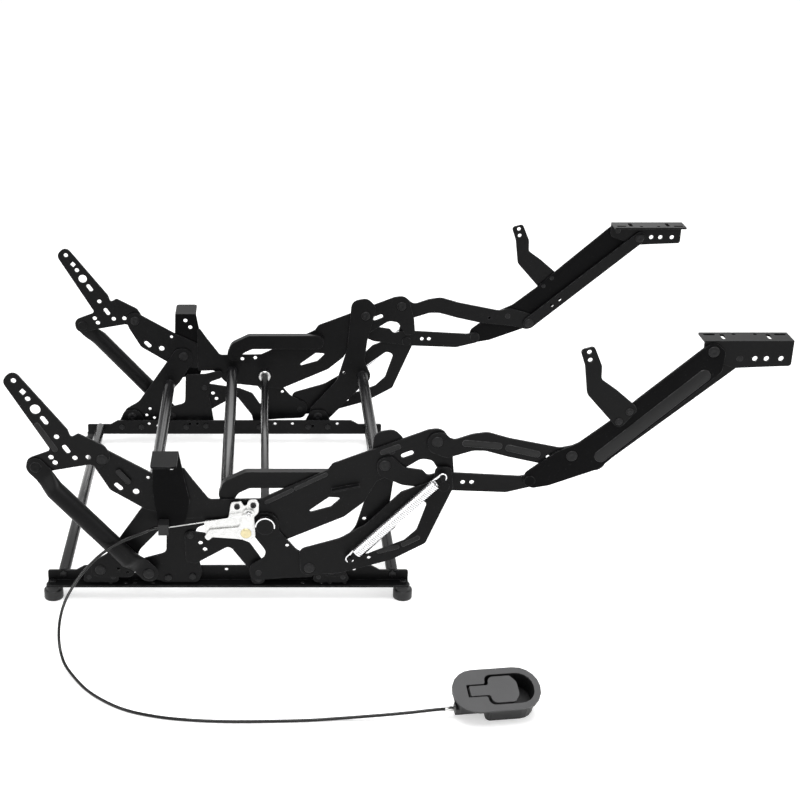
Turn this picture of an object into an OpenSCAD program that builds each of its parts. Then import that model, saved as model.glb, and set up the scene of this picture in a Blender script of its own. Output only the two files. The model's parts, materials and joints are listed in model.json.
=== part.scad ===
// Reclining chair mechanism: two mirrored side linkages on a rail base, tied by cross tubes,
// with a cable release handle. The footrest is drawn out and the back is drawn reclined.
// Side view: X runs from the back to the footrest, Z is up. The right side is at -Y.

/* [Base] */
// Length of each base rail
rail_length = 506; // [480:2:540]
// Distance between the webs of the two rails
base_width = 504; // [480:2:530]
// Height of the rail web at its raised middle
web_height = 25; // [22:0.5:30]
// Drop of the web at the two ends of the rail
web_end_drop = 7; // [4:0.5:9]
// Width of the outward rail flange
flange_width = 20; // [18:0.5:24]
// Height of each foot under the flange
foot_height = 23.5; // [20:0.5:30]
// Radius of each foot
foot_radius = 13.5; // [11:0.5:14]
// Radius of the two base tubes
base_tube_radius = 8; // [6:0.5:10]
// Distance of each base tube from the end of the rail
base_tube_inset = 22; // [18:1:30]

/* [Plates and pins] */
// Thickness of the stamped plates
plate = 3; // [2.5:0.1:3.2]
// Gap between neighbouring plates of a side stack
plate_gap = 0.6; // [0.5:0.1:1]
// Distance from the rail web to the first plate of a side stack
stack_offset = 9; // [8:0.5:14]
// Radius of the pivot pins
pin_radius = 4; // [3:0.1:4.5]
// Radial clearance of pins in their bores
pin_clearance = 0.1; // [0.08:0.01:0.15]
// Radius of the pin heads
head_radius = 7.5; // [6:0.1:8.5]
// Thickness of the pin heads
head_height = 2; // [1.5:0.1:2.5]
// Radius of the small fixing holes
hole_radius = 2.6; // [2:0.1:3.2]

/* [Recline pivots] */
// Rear lift link on the base, X
rear_base_x = -177; // [-183:1:-172]
// Rear lift link on the base, Z
rear_base_z = 51; // [48:1:54]
// Rear lift link on the seat, X
rear_seat_x = -86; // [-89:1:-83]
// Rear lift link on the seat, Z
rear_seat_z = 161; // [158:1:164]
// Front lift link on the base, X
front_base_x = 144; // [140:1:148]
// Front lift link on the base, Z
front_base_z = 51; // [48:1:54]
// Front lift link on the seat, X
front_seat_x = 222; // [220:1:224]
// Front lift link on the seat, Z
front_seat_z = 234; // [232:1:236]
// Back bracket on the seat, X
back_x = -167; // [-170:1:-164]
// Back bracket on the seat, Z
back_z = 224; // [221:1:227]
// Back strut on the back bracket, X
strut_top_x = -256; // [-259:1:-253]
// Back strut on the back bracket, Z
strut_top_z = 214; // [211:1:217]
// Back strut on the base, X
strut_base_x = -109; // [-112:1:-106]
// Back strut on the base, Z
strut_base_z = 51; // [49:1:53]

/* [Footrest pivots] */
// Drive shaft, X
shaft_x = 52; // [50:1:54]
// Drive shaft, Z
shaft_z = 126; // [124:1:128]
// Drive link on the crank, X
crank_x = 113; // [111:1:115]
// Drive link on the crank, Z
crank_z = 60; // [58:1:62]
// Drive link on the rear footrest link, X
drive_x = 293; // [291:1:295]
// Drive link on the rear footrest link, Z
drive_z = 186; // [184:1:188]
// Rear footrest link on the seat, X
rear_link_x = 213; // [211:1:214]
// Rear footrest link on the seat, Z
rear_link_z = 215; // [213:1:216]
// Front footrest link on the seat, X
front_link_x = 282; // [280:1:284]
// Front footrest link on the seat, Z
front_link_z = 250; // [248:1:252]
// Main link on the front footrest link, X
main_x = 462; // [458:1:466]
// Main link on the front footrest link, Z
main_z = 231; // [229:1:233]
// Main link on the rear footrest link, X
main_tail_x = 408; // [405:1:411]
// Main link on the rear footrest link, Z
main_tail_z = 194; // [192:1:196]
// Footrest bracket on the main link, X
footrest_x = 634; // [628:1:640]
// Footrest bracket on the main link, Z
footrest_z = 380; // [377:1:383]
// Length of the control crank on the front footrest link, along X
control_reach = 36; // [34:1:38]
// Drop of the control link pivot below the main link pivot
control_drop = 11; // [10:1:12]

/* [Cross tubes] */
// Radius of the cross tubes
tube_radius = 9; // [7:0.5:10]
// Wall of the cross tubes
tube_wall = 1.5; // [1:0.1:2.5]
// Radius of the drive shaft
shaft_radius = 6; // [5:0.5:7]

/* [Brackets] */
// Reach of the arm bracket tab out of the side
arm_tab_reach = 49; // [40:1:55]
// Width of the footrest bracket flange
footrest_flange = 32; // [28:1:36]
// Length of the footrest bracket
footrest_length = 116; // [112:1:130]

/* [Assist springs] */
// Number of curls on each spring
spring_curls = 44; // [30:1:46]
// Radius of the spring to the middle of its wire
spring_radius = 6.2; // [5.5:0.1:7]
// Diameter of the spring wire
spring_wire = 2.4; // [1.8:0.1:2.5]

/* [Release handle] */
// Length of the handle face
handle_length = 110; // [104:1:120]
// Width of the handle face
handle_width = 60; // [58:1:64]
// Thickness of the handle face
handle_face = 4; // [3:0.5:5]
// Depth of the cup behind the face
cup_depth = 28; // [26:0.5:30]
// Diameter of the cable sheath
cable_diameter = 4; // [3.4:0.1:5.2]

/* [Hidden] */
$fn = 48;
arc_steps = 5;
flush_gap = 0.1;
eased_clearance = 1.6;
flange_top = foot_height + plate;
web_top = foot_height + web_height;
web_plane = base_width / 2;
web_face = web_plane + plate / 2;
stack_start = web_face + stack_offset;
bore_radius = pin_radius + pin_clearance;

rear_base = [rear_base_x, rear_base_z];
rear_seat = [rear_seat_x, rear_seat_z];
front_base = [front_base_x, front_base_z];
front_seat = [front_seat_x, front_seat_z];
back_pivot = [back_x, back_z];
strut_top = [strut_top_x, strut_top_z];
strut_base = [strut_base_x, strut_base_z];
shaft = [shaft_x, shaft_z];
crank_pin = [crank_x, crank_z];
drive_pin = [drive_x, drive_z];
rear_link_pin = [rear_link_x, rear_link_z];
front_link_pin = [front_link_x, front_link_z];
main_pin = [main_x, main_z];
main_tail = [main_tail_x, main_tail_z];
footrest_pin = [footrest_x, footrest_z];
control_pin = main_pin + [control_reach, -control_drop];
control_end = footrest_pin + [control_reach, -control_drop];

// Places of the cross tubes on the links that carry them
rear_tube = rear_base + [66, 58];
seat_tube = shaft + [-55, 7];
front_tube = front_base + [75, 74];
crank_tail = shaft + [-9, -76];

// Points of the side view that more than one piece uses
seat_split = rear_seat_x + 24;
arm_foot = rear_seat + [8, -44];
stay_top = strut_base + [58, 54];
stay_foot_x = crank_tail[0];
bracket_bolt_z = foot_height + 13.5;
stay_foot = [stay_foot_x, bracket_bolt_z];
bracket_bolt_x = 17;
spring_low = crank_pin + [55, 19];
spring_high = drive_pin + [-3, 17];
latch_pivot = shaft + [-26, -10];
latch_screws_at = [shaft + [-38, 29], shaft + [-16, 31]];
wire_pin = shaft + [-22, 19];

// Levels of the side stack, counted from the rail outwards
base_level = 0;
lift_level = 1;
seat_level = 2;
link_level = 3;
main_level = 4;
outer_level = 5;

// Helpers for outlines: corners are [x, z, radius]
function unit(v) = v / norm(v);
function flat(p) = [p[0], p[1]];
function normal(v) = [-v[1], v[0]];
function wrapped(a) = a > 180 ? a - 360 : a < -180 ? a + 360 : a;
function at(p, dx, dz, r) = [p[0] + dx, p[1] + dz, r];
function arc_corner(before, p, after) =
    let (u = unit(flat(before) - flat(p)), v = unit(flat(after) - flat(p)))
    let (half = acos(min(1, max(-1, u * v))) / 2)
    let (centre = flat(p) + unit(u + v) * p[2] / sin(half))
    let (first = flat(p) + u * p[2] / tan(half) - centre)
    let (last = flat(p) + v * p[2] / tan(half) - centre)
    let (start = atan2(first[1], first[0]))
    let (turn = wrapped(atan2(last[1], last[0]) - start))
    [for (i = [0:arc_steps])
        centre + p[2] * [cos(start + turn * i / arc_steps), sin(start + turn * i / arc_steps)]];
function rounded(corners) =
    let (n = len(corners))
    [for (i = [0:n - 1])
        each arc_corner(corners[(i + n - 1) % n], corners[i], corners[(i + 1) % n])];

// Outline of a strip of half width w along a path, with round ends and bends of radius r
function strip(path, w, r = 12) =
    let (n = len(path), dirs = [for (i = [0:n - 2]) unit(path[i + 1] - path[i])])
    let (first = path[0] - dirs[0] * w, last = path[n - 1] + dirs[n - 2] * w)
    let (end_r = 0.97 * w)
    rounded(concat(
        [concat(first + normal(dirs[0]) * w, end_r)],
        [for (i = [1:1:n - 2]) concat(path[i] + mitre(dirs[i - 1], dirs[i]) * w, r)],
        [concat(last + normal(dirs[n - 2]) * w, end_r)],
        [concat(last - normal(dirs[n - 2]) * w, end_r)],
        [for (i = [n - 2:-1:1]) concat(path[i] - mitre(dirs[i - 1], dirs[i]) * w, r)],
        [concat(first - normal(dirs[0]) * w, end_r)]));
function mitre(a, b) = (normal(a) + normal(b)) / (1 + normal(a) * normal(b));
function level_y(level) = stack_start + level * (plate + plate_gap);
function between(a, b, t) = a + (b - a) * t;

// The right side is drawn as it stands and the left side is its mirror image
module right() children();
module left() mirror([0, 1, 0]) children();
module both() {
    right() children();
    left() children();
}

// Places children, drawn in the side view, with their base at distance y from the middle
module out_at(y) translate([0, -y, 0]) rotate([90, 0, 0]) children();

module sheet(outline, level, thickness = plate)
    out_at(level_y(level)) linear_extrude(thickness) polygon(outline);

module bore(p, level, r = bore_radius)
    out_at(level_y(level) - 1) translate([p[0], p[1], 0]) cylinder(h = plate + 2, r = r);

module slot(a, b, r, level)
    out_at(level_y(level) - 1) linear_extrude(plate + 2) polygon(strip([a, b], r));

// A stamped plate with pivot bores and small fixing holes
module link(outline, level, bores = [], holes = [], hole_r = hole_radius)
    difference() {
        sheet(outline, level);
        for (p = bores) bore(p, level);
        for (p = holes) bore(p, level, hole_r);
    }

// A headed pivot pin through the levels from first to last
module pin(p, first, last, inner_head = true, outer_head = true) {
    inner = level_y(first) - (inner_head ? flush_gap : 0);
    outer = level_y(last) + plate + (outer_head ? flush_gap : 0);
    out_at(inner) translate([p[0], p[1], 0]) cylinder(h = outer - inner, r = pin_radius);
    if (inner_head) stud_head(p, inner - head_height);
    if (outer_head) stud_head(p, outer);
}

module stud_head(p, y)
    out_at(y) translate([p[0], p[1], 0]) cylinder(h = head_height, r = head_radius);

// A raised rivet boss on the outer or inner face of a plate, part of that plate
module boss(p, level, outward = true)
    out_at(outward ? level_y(level) + plate : level_y(level) - head_height)
        translate([p[0], p[1], 0]) cylinder(h = head_height, r = head_radius);

module cross_tube(p, reach, radius)
    translate([p[0], reach, p[1]]) rotate([90, 0, 0]) difference() {
        cylinder(h = 2 * reach, r = radius);
        translate([0, 0, -1]) cylinder(h = 2 * reach + 2, r = radius - tube_wall);
    }

// Base rail: an angle with a raised web and rows of fixing holes
rail_end = rail_length / 2;
web_slope = 12;
web_raise = rail_end - 52;
upper_holes = [-147, -77, -64, -2, 70, 100, 177];
lower_holes = [-132, 135];
flange_holes = [-164, -143, -131, -105, 105, 131, 143, 164];
flange_hole_y = web_face + 9;
base_tube_z = foot_height + 12.5;

module base_rail() {
    web = [
        [-rail_end, foot_height, 0.5], [rail_end, foot_height, 0.5],
        [rail_end, web_top - web_end_drop, 3], [web_raise + web_slope, web_top - web_end_drop, 4],
        [web_raise, web_top, 4], [-web_raise, web_top, 4],
        [-web_raise - web_slope, web_top - web_end_drop, 4], [-rail_end, web_top - web_end_drop, 3]];
    color([0.05, 0.05, 0.05]) difference() {
        union() {
            out_at(web_face - plate) linear_extrude(plate) polygon(rounded(web));
            translate([-rail_end, -web_face - flange_width + plate, foot_height])
                cube([rail_length, flange_width, plate]);
        }
        for (x = upper_holes) web_hole(x, web_top - 6, hole_radius);
        for (x = lower_holes) web_hole(x, web_top - 10, hole_radius);
        for (x = [rear_base_x, front_base_x], side = [-1, 1])
            web_hole(x + side * bracket_bolt_x, bracket_bolt_z, bolt_bore);
        for (p = strut_bolts) web_hole(p[0], p[1], bolt_bore);
        web_hole(stay_foot_x, bracket_bolt_z, bolt_bore);
        for (side = [-1, 1]) web_hole(side * (rail_end - base_tube_inset), base_tube_z, bolt_bore);
        for (x = flange_holes) flange_hole(x, flange_hole_y, hole_radius);
        for (side = [-1, 1]) flange_hole(side * (rail_end - foot_inset), foot_bolt_y, bolt_bore);
    }
}
module web_hole(x, z, r)
    out_at(web_face - plate - 1) translate([x, z, 0]) cylinder(h = plate + 2, r = r);
module flange_hole(x, y, r)
    translate([x, -y, foot_height - 1]) cylinder(h = plate + 2, r = r);

// Round feet with a necked top, one under each end of each rail
foot_y = web_face + 2.8;
foot_bolt_y = web_face + 5.6;
foot_neck = 9;
foot_inset = 7;
module feet() color([0.04, 0.04, 0.045]) both() for (side = [-1, 1])
    translate([side * (rail_end - foot_inset), 0, 0]) difference() {
        union() {
            translate([0, -foot_y, 0]) cylinder(h = foot_height - foot_neck, r = foot_radius);
            translate([0, -foot_bolt_y, 0]) cylinder(h = foot_height, r = foot_radius - 4);
        }
        translate([0, -foot_bolt_y, foot_height - foot_neck]) cylinder(h = foot_neck + 1, r = bolt_bore);
    }

// Bolts that hold the feet, the base tubes and the base brackets
bolt_radius = 3;
bolt_bore = bolt_radius + 0.1;
bolt_head = 5;
bolt_head_height = 2.5;
strut_bolts = [strut_base + [26, -14], strut_base + [60, -12]];
module base_bolts() color([0.12, 0.12, 0.12]) both() {
    for (x = [rear_base_x, front_base_x], side = [-1, 1])
        stand_off([x + side * bracket_bolt_x, bracket_bolt_z], base_level, false);
    for (p = strut_bolts) stand_off(p, base_level);
    stand_off([stay_foot_x, bracket_bolt_z], lift_level);
    for (side = [-1, 1]) {
        tube_bolt([side * (rail_end - base_tube_inset), base_tube_z]);
        foot_bolt(side * (rail_end - foot_inset));
    }
}
// A shouldered bolt from the inside of the rail web to a plate that stands off it
module stand_off(p, level, outer_head = true) {
    inner = web_face - plate - flush_gap;
    gap = level_y(level) - web_face - 2 * flush_gap;
    out_at(inner - bolt_head_height) translate([p[0], p[1], 0]) {
        cylinder(h = bolt_head_height, r = bolt_head);
        cylinder(h = level_y(level) + plate - inner + bolt_head_height, r = bolt_radius);
        translate([0, 0, web_face + flush_gap - inner + bolt_head_height])
            cylinder(h = gap, r = bolt_head);
        if (outer_head) translate([0, 0, level_y(level) + plate - inner + bolt_head_height])
            cylinder(h = bolt_head_height, r = bolt_head);
    }
}
tube_plug_reach = 14;
module tube_bolt(p) {
    out_at(web_face - plate - tube_plug_reach) translate([p[0], p[1], 0])
        cylinder(h = plate + tube_plug_reach + flush_gap, r = bolt_radius);
    out_at(web_face + flush_gap) translate([p[0], p[1], 0])
        cylinder(h = bolt_head_height, r = bolt_head);
}
module foot_bolt(x) translate([x, -foot_bolt_y, 0]) {
    translate([0, 0, foot_height - foot_neck + flush_gap])
        cylinder(h = foot_neck + plate, r = bolt_radius);
    translate([0, 0, flange_top + flush_gap]) cylinder(h = bolt_head_height, r = bolt_head);
}

// Base tubes between the two rail webs, with plugged ends that the bolts enter
module base_tube(side) color([0.3, 0.3, 0.3]) {
    reach = web_face - plate;
    x = side * (rail_end - base_tube_inset);
    translate([x, reach, base_tube_z]) rotate([90, 0, 0]) difference() {
        cylinder(h = 2 * reach, r = base_tube_radius);
        for (z = [-1, 2 * reach - tube_plug_reach])
            translate([0, 0, z]) cylinder(h = tube_plug_reach + 1, r = bolt_bore);
    }
}
module rear_base_tube() base_tube(-1);
module front_base_tube() base_tube(1);

// Small plates that carry the lower pivots of the lift links
bracket_low = foot_height + 5.5;
module pivot_bracket(p) link(rounded([
        [p[0] - 28, bracket_low, 6], [p[0] + 28, bracket_low, 6],
        at(p, 12, 12, 11), at(p, -12, 12, 11)]), base_level, [p],
        [for (side = [-1, 1]) [p[0] + side * bracket_bolt_x, bracket_bolt_z]], bolt_bore);
module pivot_brackets() color([0.06, 0.06, 0.06]) both() {
    pivot_bracket(rear_base);
    pivot_bracket(front_base);
}

// Plate on the base that carries the foot of the back strut
module strut_bracket() link(rounded([
        at(strut_base, -13, -9, 9), [strut_base_x + 22, bracket_low, 10],
        [strut_base_x + 68, bracket_low, 8], at(strut_base, 73, -7, 9), at(strut_base, 66, 38, 20),
        at(strut_base, 66, 64, 8), at(strut_base, 88, 72, 6), at(strut_base, 88, 86, 5),
        at(strut_base, 60, 79, 10), at(strut_base, 26, 78, 5), at(strut_base, 24, 25, 8),
        at(strut_base, -10, 15, 9)]), base_level, [strut_base], concat(strut_bolts, [stay_top]), bolt_bore);
module strut_brackets() color([0.07, 0.07, 0.07]) both() strut_bracket();

// Cranked stay from the strut bracket down to the rail
module base_stay() link(rounded([
        at(stay_top, -8, 8, 8), at(stay_top, 60, -3, 10), at(stay_top, 82, -12, 10), at(stay_foot, 8, 25, 12),
        at(stay_foot, 9, -9, 8), at(stay_foot, -9, -9, 8), at(stay_foot, -13, 15, 10), at(stay_top, 54, -16, 8),
        at(stay_top, 7, -44, 4), at(stay_top, -7, -41, 5)]),
        lift_level, [], [stay_top, stay_foot, stay_top + [14, -12], stay_top + [20, -22]], bolt_bore);
module base_stays() color([0.07, 0.07, 0.07]) both() base_stay();

// Pins fixed to the base: lift link pivots, strut pivots and the rivets of the stays
module base_pins() color([0.1, 0.1, 0.1]) both() {
    pin(rear_base, base_level, lift_level);
    pin(front_base, base_level, lift_level);
    strut_pin();
    stay_rivet();
}
module strut_pin() {
    pin(strut_base, base_level, main_level);
    inner = level_y(base_level) + plate + flush_gap;
    out_at(inner) translate([strut_base_x, strut_base_z, 0])
        cylinder(h = level_y(main_level) - flush_gap - inner, r = head_radius);
}
module stay_rivet() {
    inner = level_y(base_level) - flush_gap;
    outer = level_y(lift_level) + plate + flush_gap;
    out_at(inner) translate([stay_top[0], stay_top[1], 0]) cylinder(h = outer - inner, r = bolt_radius);
    for (y = [inner - head_height, outer])
        out_at(y) translate([stay_top[0], stay_top[1], 0]) cylinder(h = head_height, r = bolt_head);
}

// Lift links between the base and the seat
module rear_lift_link() color([0.06, 0.06, 0.06]) link(rounded([
        at(rear_base, -13, -12, 12), at(rear_base, 46, -12, 10), at(rear_base, 55, 31, 20),
        at(rear_seat, -7, -47, 16), at(rear_seat, 15, -11, 12), at(rear_seat, 13, 13, 13),
        at(rear_seat, -12, 14, 14), at(rear_base, 12, 26, 25), at(rear_base, -13, 11, 12)]),
        lift_level, [rear_base, rear_seat],
        [rear_base + [31, 13], rear_base + [25, 1], rear_base + [38, -4]]);
module front_lift_link() color([0.06, 0.06, 0.06]) difference() {
    link(rounded([
        at(front_base, -13, -11, 12), at(front_base, 14, -11, 12), at(front_tube, 0, -18, 14),
        at(front_tube, 17, -4, 14), at(front_tube, 3, 28, 14), at(front_seat, 4, -44, 25),
        at(front_seat, 18, 16, 16), at(front_seat, 2, 31, 14), at(front_seat, -24, 26, 14),
        at(front_seat, -30, -60, 30), at(front_tube, -43, -8, 30), at(front_base, -13, 14, 12)]),
        lift_level, [front_base], [front_tube + [-31, 6]]);
    bore(front_seat, lift_level, pin_radius + eased_clearance);
}

// Tubes that tie the left and right lift links and seat plates
tube_end_gap = 0.1;
module rear_lift_tube() color([0.3, 0.3, 0.3])
    cross_tube(rear_tube, level_y(lift_level) - tube_end_gap, tube_radius);
module front_lift_tube() color([0.3, 0.3, 0.3])
    cross_tube(front_tube, level_y(lift_level) - tube_end_gap, tube_radius);
module seat_cross_tube() color([0.3, 0.3, 0.3])
    cross_tube(seat_tube, level_y(seat_level) - tube_end_gap, tube_radius);

// Rear seat plate with the back pivot and the rear lift pivot
module rear_seat_plate() color([0.06, 0.06, 0.06]) difference() {
    link(rounded([
        [seat_split - plate_gap, rear_seat_z - 24, 3], [seat_split - plate_gap, rear_seat_z + 22, 3],
        at(rear_seat, -14, 40, 20), at(back_pivot, -2, 17, 12), at(back_pivot, -17, 3, 12),
        at(back_pivot, -10, -14, 10), at(rear_seat, -72, 16, 14), at(rear_seat, -24, -14, 14)]),
        seat_level, [rear_seat, back_pivot], [rear_seat + [-20, 34]]);
    slot(rear_seat + [-63, 23], rear_seat + [-58, 18], 3.5, seat_level);
    bore(rear_seat + [-37, 13], seat_level, 4.5);
}

// Front seat plate with the shaft bearing, the front pivots and a stiffening lip
module seat_plate() color([0.055, 0.055, 0.055]) difference() {
    union() {
        sheet(rounded([
            [seat_split, rear_seat_z - 28, 3], at(seat_tube, -31, 1, 10), at(seat_tube, -11, -22, 12),
            at(shaft, -4, -22, 12), at(shaft, 28, -26, 10), at(shaft, 108, 10, 10), at(shaft, 134, 32, 6),
            at(rear_link_pin, -10, -25, 6), at(rear_link_pin, 19, -11, 8), at(front_link_pin, -20, -26, 15),
            at(front_link_pin, -5, -29, 8), at(front_link_pin, 9, -52, 4), at(front_link_pin, 25, -50, 5),
            at(front_link_pin, 22, -22, 12), at(front_link_pin, 10, 19, 16),
            at(front_link_pin, -12, 16, 10), at(shaft, 91, 90, 4), at(shaft, 85, 81, 6),
            at(shaft, -6, 37, 12), at(shaft, -76, 36, 8), at(shaft, -98, 66, 6),
            [seat_split, rear_seat_z + 55, 3]]), seat_level);
        out_at(level_y(seat_level)) linear_extrude(plate + lip_reach)
            polygon(rounded([at(shaft, 90, 50, 0.8), at(shaft, 128, 58.2, 0.8),
                at(shaft, 128, 60.8, 0.8), at(shaft, 90, 52.6, 0.8)]));
    }
    for (p = [rear_link_pin, front_link_pin, front_seat]) bore(p, seat_level);
    bore(shaft, seat_level, shaft_radius + pin_clearance);
    for (p = latch_screws_at) bore(p, seat_level, bolt_bore);
    out_at(level_y(seat_level) - 1) linear_extrude(plate + 2) polygon(rounded([
        at(shaft, 53, 14, 2), at(shaft, 90, 25, 3), at(shaft, 104, 39, 2), at(shaft, 87, 40, 3)]));
    slot(front_link_pin + [-44, -22], front_link_pin + [-34, -18], 3.5, seat_level);
}
lip_reach = 8;

// Bent rail on the inner face of each seat plate
inner_rail_depth = 12;
module inner_seat_rail() out_at(level_y(lift_level) + plate - inner_rail_depth)
    linear_extrude(inner_rail_depth) polygon(strip([
        shaft + [-51, 42], shaft + [-47, 52], shaft + [-24, 63.5], shaft + [88, 63.5]], 12, 14));
module inner_seat_rails() color([0.04, 0.04, 0.04]) both() inner_seat_rail();

// Arm bracket with a broad tab that turns outwards at the top
arm_tab_z = rear_seat_z + 74;
module arm_bracket() {
    link(rounded([
        at(arm_foot, -14, 2, 3), at(arm_foot, 20, 8, 6), at(arm_foot, 28, 44, 14), at(arm_foot, 22, 74, 10),
        [arm_foot[0] + 14, arm_tab_z, 1], [arm_foot[0] - 21, arm_tab_z, 1],
        at(arm_foot, -23, 62, 14), at(arm_foot, -17, 16, 10)]), link_level,
        [], [arm_foot + [4, 94], arm_foot + [-4, 106]], 3.5);
    translate([0, 0, arm_tab_z - plate]) linear_extrude(plate) polygon(rounded([
        [arm_foot[0] - 21, -level_y(link_level), 0.5], [arm_foot[0] + 14, -level_y(link_level), 0.5],
        [arm_foot[0] + 14, -level_y(link_level) - arm_tab_reach, 6],
        [arm_foot[0] - 21, -level_y(link_level) - arm_tab_reach, 6]]));
}
module arm_brackets() color([0.1, 0.1, 0.1]) both() arm_bracket();

// Pins fixed to the seat: both lift pivots, the back pivot and the footrest pivots
module seat_pins() color([0.1, 0.1, 0.1]) both() {
    pin(rear_seat, lift_level, seat_level, true, false);
    pin(back_pivot, seat_level, link_level);
    pin(front_link_pin, seat_level, link_level);
    pin(rear_link_pin, seat_level, link_level, false, true);
    pin(front_seat, lift_level, seat_level, true, false);
}

// Back bracket with its row of fixing holes, and the strut that tips it
back_holes = [[-18, 3], [-68, 3], [-63, -5], [-36, 2], [-94, 88], [-59, 33], [-111, 114]];
module back_bracket() color([0.06, 0.06, 0.06]) difference() {
    union() {
        link(rounded([
            at(back_pivot, -111, 130, 10), at(back_pivot, -127, 114, 10), at(back_pivot, -69, 16, 3),
            at(back_pivot, -71, 12, 2), at(strut_top, -14, 10, 11), at(strut_top, -10, -14, 11),
            at(back_pivot, -64, -16, 20), at(back_pivot, -14, -7, 12), at(back_pivot, -4, -14, 8),
            at(back_pivot, 15, 2, 13), at(back_pivot, 4, 20, 14),
            at(back_pivot, -30, 38, 4), at(back_pivot, -40, 32, 3), at(back_pivot, -44, 44, 10)]),
            link_level, [back_pivot],
            [for (p = back_holes) back_pivot + p], 3.6);
        boss(strut_top, link_level, false);
    }
    bore(back_pivot + [-85, 73], link_level, 7);
    slot(back_pivot + [-76, 60], back_pivot + [-72, 54], 3.4, link_level);
    slot(back_pivot + [-49, 18], back_pivot + [-45, 12], 3.4, link_level);
    out_at(level_y(link_level) - 1) translate(back_pivot + [-100, 98]) rotate(45)
        translate([-3.5, -3.5, 0]) cube([7, 7, plate + 2]);
}
strut_bar_radius = 13;
module back_strut() color([0.07, 0.07, 0.07]) {
    run = strut_base - strut_top;
    turn = atan2(run[1], run[0]);
    link(strip([strut_top, strut_base], strut_bar_radius), main_level, [strut_base]);
    boss(strut_top, main_level);
    translate([strut_top_x, -level_y(main_level) - strut_bar_radius, strut_top_z])
        rotate([0, 90 - turn, 0]) translate([0, 0, 22])
        cylinder(h = norm(run) - 44, r = strut_bar_radius);
}

// Drive shaft across both sides, the cranks it turns and the zinc collars beside them
crank_hub_height = 8;
hub_radius = 12;
module drive_shaft() color([0.08, 0.08, 0.08]) {
    reach = level_y(link_level) + plate + crank_hub_height - 3 - flush_gap;
    translate([shaft_x, reach, shaft_z]) rotate([90, 0, 0]) cylinder(h = 2 * reach, r = shaft_radius);
}
module crank() color([0.075, 0.07, 0.075]) difference() {
    union() {
        sheet(rounded([
            at(shaft, -18, -14, 13), at(shaft, -18, 17, 15), at(shaft, 17, 17, 15), at(shaft, 19, -10, 14),
            at(crank_pin, -17, 26, 18), at(crank_pin, 14, 10, 12), at(crank_pin, 9, -16, 12),
            at(crank_tail, 33, -8, 25), at(crank_tail, -13, -12, 11), at(crank_tail, -12, 12, 11),
            at(crank_tail, 15, 28, 12)]), link_level);
        out_at(level_y(link_level) + plate) translate([shaft_x, shaft_z, 0])
            cylinder(h = crank_hub_height, r = hub_radius);
    }
    bore(crank_pin, link_level);
    bore(crank_tail, link_level);
    bore(between(shaft, crank_pin, 0.5), link_level, hole_radius);
    out_at(level_y(link_level) - 1) translate([shaft_x, shaft_z, 0])
        cylinder(h = plate + crank_hub_height - 2, r = shaft_radius + flush_gap);
}
module crank_pins() color([0.1, 0.1, 0.1]) both() {
    pin(crank_pin, link_level, main_level, false, true);
    pin(crank_tail, link_level, link_level, false, false);
}
collar_width = 10;
module shaft_collars() color([0.75, 0.75, 0.75]) both()
    out_at(level_y(seat_level) - collar_width - 0.3) translate([shaft_x, shaft_z, 0]) difference() {
        cylinder(h = collar_width, r = shaft_radius + 4);
        translate([0, 0, -1]) cylinder(h = collar_width + 2, r = shaft_radius + flush_gap);
    }

// Ring shaped drive link with posts for the assist spring
post_radius = 3;
post_height = 2 * spring_radius + spring_wire + 1;
module drive_link() color([0.07, 0.07, 0.07]) {
    difference() {
        sheet(rounded([
            at(crank_pin, -12, -12, 11), at(crank_pin, 42, -8, 30), at(crank_pin, 113, 13, 20),
            at(drive_pin, -21, -87, 8), at(drive_pin, -12, -64, 25), at(drive_pin, 13, -2, 12),
            at(drive_pin, 9, 28, 7), at(drive_pin, -12, 28, 7), at(drive_pin, -14, 8, 8),
            at(drive_pin, -57, -9, 12), at(drive_pin, -103, -58, 40), at(crank_pin, 42, 46, 40),
            at(crank_pin, -14, 29, 10), at(crank_pin, -13, 10, 11)]), main_level);
        out_at(level_y(main_level) - 1) linear_extrude(plate + 2) polygon(rounded([
            at(crank_pin, 65, 28, 4), at(drive_pin, -64, -43, 10), at(drive_pin, -33, -20, 8),
            at(drive_pin, -21, -25, 6), at(drive_pin, -34, -67, 12), at(drive_pin, -50, -83, 8),
            at(crank_pin, 77, 20, 8)]));
        bore(crank_pin, main_level);
        bore(crank_pin + [82, 16], main_level, hole_radius);
    }
    boss(drive_pin, main_level);
    for (p = [spring_low, spring_high]) out_at(level_y(main_level) + plate)
        translate([p[0], p[1], 0]) cylinder(h = post_height, r = post_radius);
}

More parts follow.
